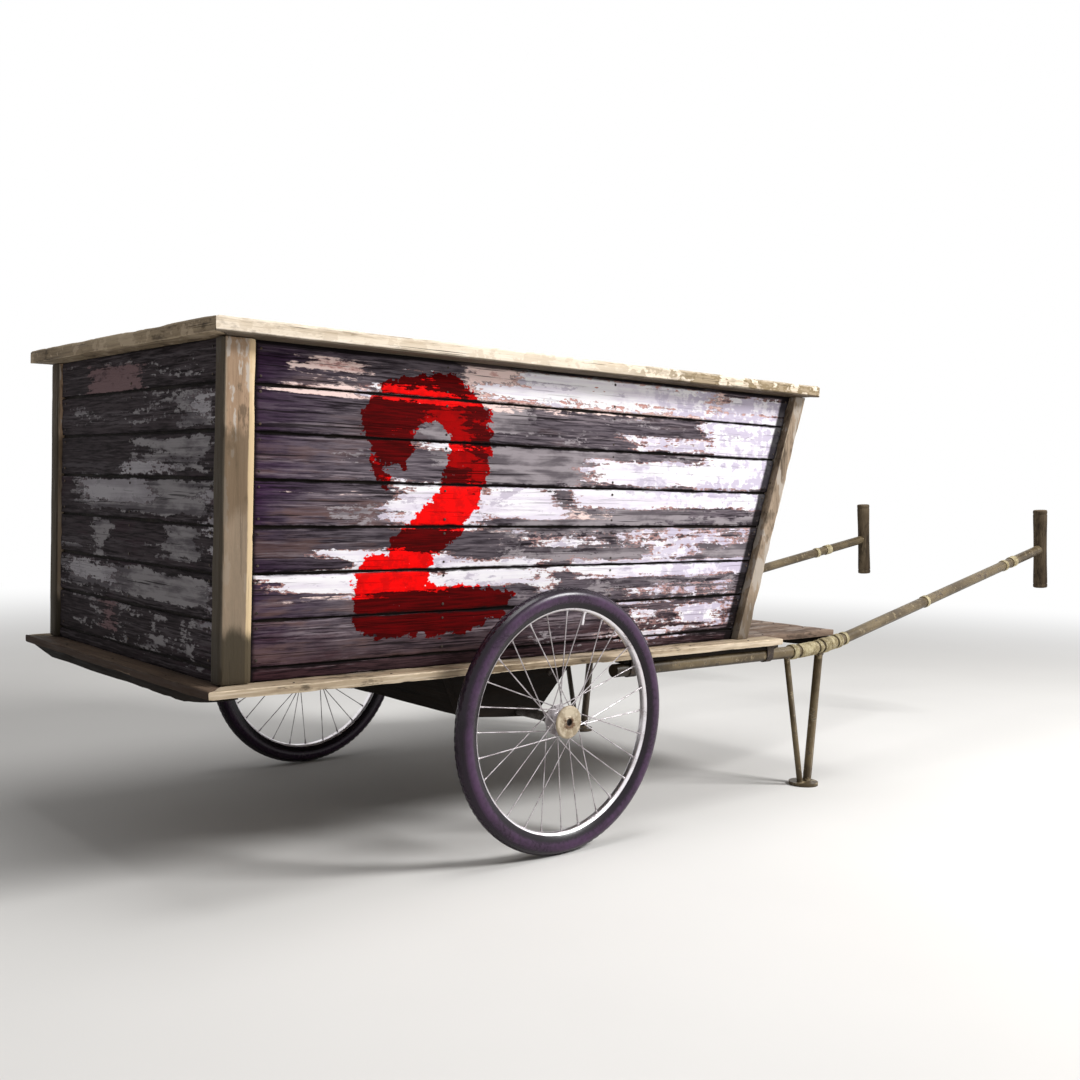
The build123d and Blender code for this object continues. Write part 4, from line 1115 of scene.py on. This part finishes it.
def tyreProfile():
    low, wide = wheelSize["section"], wheelSize["tyreRound"]
    half = []
    for degree in range(0, 99, 7):
        turn = math.radians(degree)
        radius = wide - (wheelSize["groove"] if degree in wheelSize["grooveAt"] else wheelSize["underTread"])
        half.append((low + radius * math.cos(turn), radius * math.sin(turn)))
    half += [(0.2985, 0.0222), (0.2935, 0.0202), (0.2888, 0.0181), (0.2846, 0.0160), (0.2812, 0.0141),
             (0.2798, 0.0132), (0.2802, 0.0128), (0.2858, 0.0150), (0.2924, 0.0154), (0.2926, 0.0121),
             (0.2824, 0.0121)]    # a lip that laps the rim's flange, then the bead inside it
    return half + [(radius, -out) for radius, out in reversed(half[1:])]


def rimProfile():
    half = [(0.2730, 0.0), (0.2731, 0.0035), (0.2736, 0.0066), (0.2752, 0.0094), (0.2786, 0.0116), (0.2830, 0.0135),
            (0.2868, 0.0145), (0.2902, 0.0150), (0.2915, 0.0147), (0.2920, 0.0138), (0.2917, 0.0128),
            (0.2905, 0.0125), (0.2820, 0.0125)]
    return half + [(radius, -out) for radius, out in reversed(half[1:])]


hubProfile = [    # radius and distance out from the wheel's middle plane, round the section
    (0.01206, -0.0338), (0.0158, -0.0340), (0.0168, -0.0330), (0.0172, -0.0278), (0.0196, -0.0262),
    (0.0372, -0.0256), (0.0380, -0.0248), (0.0380, -0.0232), (0.0372, -0.0224), (0.0200, -0.0218),
    (0.0170, -0.0205), (0.0152, -0.0160), (0.0148, -0.0060), (0.0152, 0.0040), (0.0170, 0.0085),
    (0.0200, 0.0098), (0.0372, 0.0104), (0.0380, 0.0112), (0.0380, 0.0128), (0.0372, 0.0136),
    (0.0196, 0.0142), (0.0172, 0.0158), (0.0168, 0.0178), (0.01206, 0.0179)]
capProfile = [
    (0.0410, 0.0181), (0.0410, 0.0193), (0.0399, 0.0208), (0.0380, 0.0220), (0.0352, 0.0227), (0.0330, 0.0223),
    (0.0312, 0.0226), (0.0250, 0.0224), (0.0190, 0.0217), (0.0158, 0.0215), (0.0146, 0.0227), (0.0122, 0.0230),
    (0.0096, 0.0229), (0.0085, 0.0222), (0.0080, 0.0210), (0.0080, 0.0181)]


def wheelPoint(radius, degrees, out, side):
    turn = math.radians(degrees)
    return Vector((radius * math.sin(turn), side * out, radius * math.cos(turn)))


def spokeSet(side):
    # two spokes of each flange with their heads, elbows and nipples: a seventh of the wheel
    bm = bmesh.new()
    size = wheelSize
    thick, clear = size["wire"], size["flangeHalf"] + size["wire"]
    for flange, rimOut, firstHole in ((size["outerFlange"], size["rimOut"], 0),
                                      (size["innerFlange"], -size["rimOut"], 0.5)):
        for hole, lead in ((0, 1), (1, -1)):
            angle = (hole + firstHole) * size["holeStep"]
            hold = wheelPoint(size["holeRadius"], angle, flange, side)
            sideways = Vector((0, side * lead, 0))
            leave = hold + sideways * clear
            rimEnd = wheelPoint(size["rimRadius"], angle + lead * size["crossings"] * size["holeStep"], rimOut, side)
            run = (rimEnd - leave).normalized()
            grip = rimEnd - run * size["nippleLength"]
            head = [hold - sideways * (clear + out) for out, _ in size["spokeHead"]]
            elbow = [hold - sideways * 0.0002, hold + sideways * clear * 0.62,
                     leave + run * 0.0012, leave + run * 0.004]
            wire(bm, head + elbow + [grip], [radius for _, radius in size["spokeHead"]] + [thick] * 5)
            wire(bm, [grip - run * 0.0005] + [grip + run * out for out, _ in size["nipple"]],
                 [thick] + [radius for _, radius in size["nipple"]])
    return meshOf(bm, "spokeSet")


def treadUnit(side):
    # one pitch of tread: a middle bar and two side bars, standing on the crown
    bm = bmesh.new()
    low, wide = wheelSize["section"], wheelSize["tyreRound"]
    for degrees, length, width, step in wheelSize["treadBars"]:
        turn = math.radians(degrees)
        out = Vector((0, math.sin(turn) * side, math.cos(turn)))
        across = Vector((0, math.cos(turn) * side, -math.sin(turn)))
        swing = Matrix.Rotation(step * 2 * math.pi / wheelSize["treadCount"], 3, "Y")
        rings = []
        for lift, share in wheelSize["treadSteps"]:
            ring = []
            for a, b in ((-0.5, -0.5), (0.5, -0.5), (0.5, 0.5), (-0.5, 0.5)):
                place = (Vector((0, 0, low)) + out * (wide + lift) + across * (a * width * share)
                         + Vector((b * length * share, 0, 0)))
                place.z -= (b * length) ** 2 / 2 / (low + wide)    # follow the round of the wheel
                ring.append(bm.verts.new(swing @ place))
            rings.append(ring)
        skin(bm, rings)
    bmesh.ops.recalc_face_normals(bm, faces=bm.faces[:])
    return meshOf(bm, "treadUnit")


def valveStem(side):
    bm = bmesh.new()
    radius, degrees = wheelSize["valveAt"]
    foot, inward = wheelPoint(radius, degrees, 0, side), -wheelPoint(1, degrees, 0, side)
    wire(bm, [foot + inward * out for out, _ in wheelSize["valve"]], [thick for _, thick in wheelSize["valve"]], 12)
    return meshOf(bm, "valve")


def roundField(mesh, centre):
    points = pointsOf(mesh)
    addField(mesh, "around", np.hypot(points[:, 0] - centre.x, points[:, 2] - centre.z))


# the far wheel's tyre takes half the dust and sheen: painted shade
tyreDustAndShade = {"left": 0.5, "right": 1.0}
for sideName, side in (("Left", 1), ("Right", -1)):
    lower = sideName.lower()
    body = "wheel_" + lower
    centre = hubPlace[body]
    axis = (0, side, 0)
    size = wheelSize
    tread = grow(ringRecipe, treadUnit(side), "tread" + sideName,
                 {"Count": size["treadCount"], "Centre": tuple(centre), "Finish": finishes["rubber"]})
    casing = joined([turned(tyreProfile(), centre, axis, size["tyreSteps"]), tread], "tyreCasing" + sideName)
    roundField(casing, centre)
    addField(casing, "dust", np.full(len(casing.vertices), tyreDustAndShade[lower]))
    settle(casing, "tyre" + sideName, body, "rubber", ("tyre_" + lower,), sharp=40)
    valve = valveStem(side)
    valve.transform(Matrix.Translation(centre))
    rim = joined([turned(rimProfile(), centre, axis, size["rimSteps"]), valve], "rimMesh" + sideName)
    settle(rim, "rim" + sideName, body, "bright", ("rim_wheel_" + lower,), sharp=40)
    spokes = grow(ringRecipe, spokeSet(side), "spokes" + sideName,
                  {"Count": size["spokePairs"], "Centre": tuple(centre), "Finish": finishes["spoke"]})
    hub = joined([turned(hubProfile, centre, axis, size["hubSteps"]), spokes], "hubMesh" + sideName)
    settle(hub, "hub" + sideName, body, "spoke", ("hub_" + lower,), sharp=40)
    cap = turned(capProfile, centre, axis, size["capSteps"])
    roundField(cap, centre)
    settle(cap, "hubCap" + sideName, body, "cap", ("hub_cap_" + lower,), sharp=40)
smoothCopy("axle", "axleBar", "cart", "axle")
print("wheels made")

shaftSize = {    # metres; ahead of the axle, to each side, above the ground
    "y": 0.516, "height": 0.420, "radius": 0.018, "bendAt": 1.172, "bendRadius": 1.8,
    "gripAhead": 2.729, "gripY": 0.417, "gripHeight": 0.711,
}


def shaftPlace(ahead, side):
    # the tube's middle and direction at a distance ahead of the axle
    size = shaftSize
    bend = Vector((size["bendAt"], side * size["y"], size["height"]))
    hand = Vector((size["gripAhead"], side * size["gripY"], size["gripHeight"]))
    level, rising = Vector((1, 0, 0)), (hand - bend).normalized()
    angle = level.angle(rising)
    start = bend - level * size["bendRadius"] * math.tan(angle / 2)
    turnIn = (rising - level * level.dot(rising)).normalized()
    if ahead <= start.x:
        place, run = Vector((ahead, bend.y, bend.z)), level
    else:
        turn = math.asin(min(1, (ahead - start.x) / size["bendRadius"]))
        if turn < angle:
            place = (start + turnIn * size["bendRadius"] * (1 - math.cos(turn))
                     + level * size["bendRadius"] * math.sin(turn))
            run = level * math.cos(turn) + turnIn * math.sin(turn)
        else:
            place, run = bend + rising * ((ahead - bend.x) / rising.x), rising
    return place + Vector((axleX, 0, 0)), run


wraps = {
    "clear": 0.0001, "unevenness": 0.05, "firstSeed": 7,
    "rows": (    # distance ahead of the axle, length, cord radius
        (1.030, 0.018, 0.0026), (1.066, 0.010, 0.0018), (1.100, 0.078, 0.0018), (1.158, 0.010, 0.0021),
        (1.191, 0.022, 0.0028), (1.226, 0.026, 0.0019), (1.262, 0.016, 0.0024), (1.300, 0.012, 0.0016),
        (1.815, 0.014, 0.0014), (2.410, 0.014, 0.0014), (2.480, 0.030, 0.0014)),
}
wrapLook = dict(plainLook, paint=tone(186, 174, 140), paintDark=tone(142, 128, 96), paintLight=tone(214, 204, 176),
                broad=40, spots=260, chips=0.9, sheen=0.7)
finishes["wrap"] = paintedSteel("wrapCord", wrapLook)
gripSize = {
    "radius": 0.027, "half": 0.156, "lean": 5.0, "steps": 56,
    "left": 0.31, "right": 0.67,    # which stretch of the grain each grip takes
}


def gripProfile():
    radius, half = gripSize["radius"], gripSize["half"]
    upper = [(0.0, half), (0.012, half - 0.0002), (radius - 0.0042, half - 0.0004), (radius - 0.0018, half - 0.0012),
             (radius - 0.0006, half - 0.003), (radius, half - 0.0065), (radius - 0.0003, half - 0.014),
             (radius - 0.0014, half - 0.0155), (radius - 0.0014, half - 0.0172), (radius - 0.0002, half - 0.0188),
             (radius - 0.0006, half - 0.05), (radius - 0.0016, half - 0.095), (radius - 0.002, 0.0)]
    return upper + [(r, -out) for r, out in reversed(upper[:-1])]


for sideName, side in (("Left", 1), ("Right", -1)):
    lower = sideName.lower()
    smoothCopy("shaft_" + lower, "shaft" + sideName, "cart", "khaki")
    # the far stand takes the darker copy of the khaki paint: painted shade
    smoothCopy("stand_" + lower, "stand" + sideName, "cart", "khakiShaded" if side > 0 else "khaki")
    smoothCopy("straps_" + lower, "straps" + sideName, "cart", "bolt")
    cords = []
    for number, (ahead, length, thick) in enumerate(wraps["rows"]):
        place, run = shaftPlace(ahead, side)
        cords.append(grow(wrapRecipe, bpy.data.meshes.new("empty"), f"wrap{sideName}{number}",
                          {"Centre": tuple(place), "Direction": tuple(run), "Length": length,
                           "Tube radius": shaftSize["radius"] + wraps["clear"], "Cord radius": thick,
                           "Unevenness": wraps["unevenness"], "Seed": number + wraps["firstSeed"],
                           "Finish": finishes["wrap"]}))
    settle(joined(cords, "wraps" + sideName), "wraps" + sideName, "cart", "wrap",
           ("bindings_" + lower,), sharp=60)
    lean = math.radians(gripSize["lean"])
    gripAxis = (-math.sin(lean), 0, math.cos(lean))
    gripMiddle = (axleX + shaftSize["gripAhead"], side * shaftSize["gripY"], shaftSize["gripHeight"])
    grip = turned(gripProfile(), gripMiddle, gripAxis, gripSize["steps"], closed=False)
    out = (pointsOf(grip) - np.array(gripMiddle)) @ np.array(gripAxis)
    addField(grip, "edge", np.maximum(gripSize["half"] - np.abs(out), 0.0))
    addField(grip, "board", np.full(len(out), gripSize[lower]))
    settle(grip, "grip" + sideName, "cart", "grip", ("grip_" + lower,), sharp=40)
print("shafts, wraps, grips and stands made")


def domedShape(name, size):
    # a nail, bolt or weld drop: a foot below the surface, then rings that close over a dome
    bm = bmesh.new()
    turns = [2 * math.pi * side / size["sides"] for side in range(size["sides"])]
    steps = [(size["radius"], -0.0006)]
    for ring in range(size["rings"]):
        rise = ring / size["rings"] * math.pi / 2
        steps.append((size["radius"] * math.cos(rise), size["height"] * (0.35 + 0.65 * math.sin(rise))))
    skin(bm, [[bm.verts.new((wide * math.cos(turn), wide * math.sin(turn), lift)) for turn in turns]
              for wide, lift in steps])
    return placed(name, meshOf(bm, name))


def scatter(rows, size, name, finish):
    # sets the domed shape of that size at each row
    shape = domedShape(name + "Shape", size)
    mesh = grow(scatterRecipe, pointCloud(rows, name + "Points"), name,
                {"Shape": shape, "Seed": size["seed"], "Finish": finishes[finish]})
    settle(mesh, name, "cart", sharp=50)
    bpy.data.objects.remove(shape)


nails = {    # metres ahead of the axle, to each side, or above the ground
    "radius": 0.0030, "height": 0.0012, "sides": 10, "rings": 2, "seed": 4,
    "rows": (0.5165, 0.5855, 0.6185, 0.6865, 0.7195, 0.7875, 0.8205, 0.8885, 0.9215, 0.9895, 1.0225, 1.0905, 1.1235,
             1.1815),
    "side": (-0.764, -0.274, 0.2785), "sideFront": 0.768, "ends": (-0.43, 0.0, 0.43),
    "rail": (-0.84, -0.62, -0.40, -0.128, 0.15, 0.44, 0.70, 0.98), "railY": 0.482, "railTop": 1.2316,
    "railRear": -0.838, "railFront": 1.045, "ledgeRear": -0.885, "across": (-0.3, 0.0, 0.3),
    "ledge": (-0.7, -0.45, -0.2, 0.05, 0.3, 0.55, 0.8), "ledgeY": 0.532,
    "deck": (0.96, 1.25), "boards": 8, "boardPitch": 0.12, "boardNails": 0.035,
}
nailRows = []
for height in nails["rows"]:
    for ahead in (*nails["side"], nails["sideFront"] + leaned(height)):
        for side in (-1, 1):
            nailRows.append(((axleX + ahead, side * wallPlanes["side"], height), (0, side, 0)))
    for y in nails["ends"]:
        nailRows.append(((wallPlanes["rear"], y, height), (-1, 0, 0)))
        nailRows.append(((wallPlanes["frontFoot"] + leaned(height), y, height), wallPlanes["frontFacing"]))
upward = (0, 0, 1)
for ahead in nails["rail"]:
    for side in (-1, 1):
        nailRows.append(((axleX + ahead, side * nails["railY"], nails["railTop"]), upward))
for y in nails["across"]:
    for ahead, height in ((nails["railRear"], nails["railTop"]), (nails["railFront"], nails["railTop"]),
                          (nails["ledgeRear"], wallPlanes["floor"])):
        nailRows.append(((axleX + ahead, y, height), upward))
for ahead in nails["ledge"]:
    for side in (-1, 1):
        nailRows.append(((axleX + ahead, side * nails["ledgeY"], wallPlanes["floor"]), upward))
for board in range(nails["boards"]):
    middle = (board - (nails["boards"] - 1) / 2) * nails["boardPitch"]
    for offset in (-nails["boardNails"], nails["boardNails"]):
        for ahead in nails["deck"]:
            nailRows.append(((axleX + ahead, middle + offset, wallPlanes["floor"]), upward))
scatter(nailRows, nails, "nailHeads", "bolt")

bolts = {
    "radius": 0.0075, "height": 0.0042, "sides": 6, "rings": 3, "seed": 5,
    "straps": (0.33, 0.90), "fromTube": 0.0265, "strapUnder": 0.448,
    "bolster": (-0.12, 0.10), "bolsterY": 0.45, "bolsterHeight": 0.42,
}
boltRows = []
for side in (-1, 1):
    for ahead in bolts["straps"]:
        for across in (-bolts["fromTube"], bolts["fromTube"]):
            boltRows.append(((axleX + ahead, side * shaftSize["y"] + across, bolts["strapUnder"]), (0, 0, -1)))
    for ahead in bolts["bolster"]:
        boltRows.append(((axleX + ahead, side * bolts["bolsterY"], bolts["bolsterHeight"]), (0, side, 0)))
scatter(boltRows, bolts, "boltHeads", "bolt")

welds = {
    "radius": 0.0026, "height": 0.0017, "sides": 7, "rings": 2, "seed": 6, "drops": 26, "footTop": 0.0102,
    "legs": ((1.164, 1.124, 0.013), (1.000, 1.092, 0.009)),    # top and foot ahead of the axle, radius
}
weldRows = []
outward, up = Vector((0, 1, 0)), Vector(upward)
for side in (-1, 1):
    for top, foot, radius in welds["legs"]:
        head = Vector((axleX + top, side * shaftSize["y"], shaftSize["height"]))
        toe = Vector((axleX + foot, side * shaftSize["y"], 0.0))
        rise = (head - toe).normalized()
        across = rise.cross(outward).normalized()
        for step in range(welds["drops"]):
            turn = 2 * math.pi * step / welds["drops"]
            ring = (across * math.cos(turn) + outward * math.sin(turn)) * radius
            tubeUnder = shaftSize["height"] - math.sqrt(max(shaftSize["radius"] ** 2 - ring.y ** 2, 0))
            for end, height, facing in ((toe, welds["footTop"], up), (head, tubeUnder, -up)):
                place = end + ring
                place += rise * ((height - place.z) / rise.z)
                weldRows.append((place, (ring.normalized() + facing).normalized()))
scatter(weldRows, welds, "weldBeads", "khaki")
print("fixings set:", len(nailRows), "nails,", len(boltRows), "bolts,", len(weldRows), "weld drops")
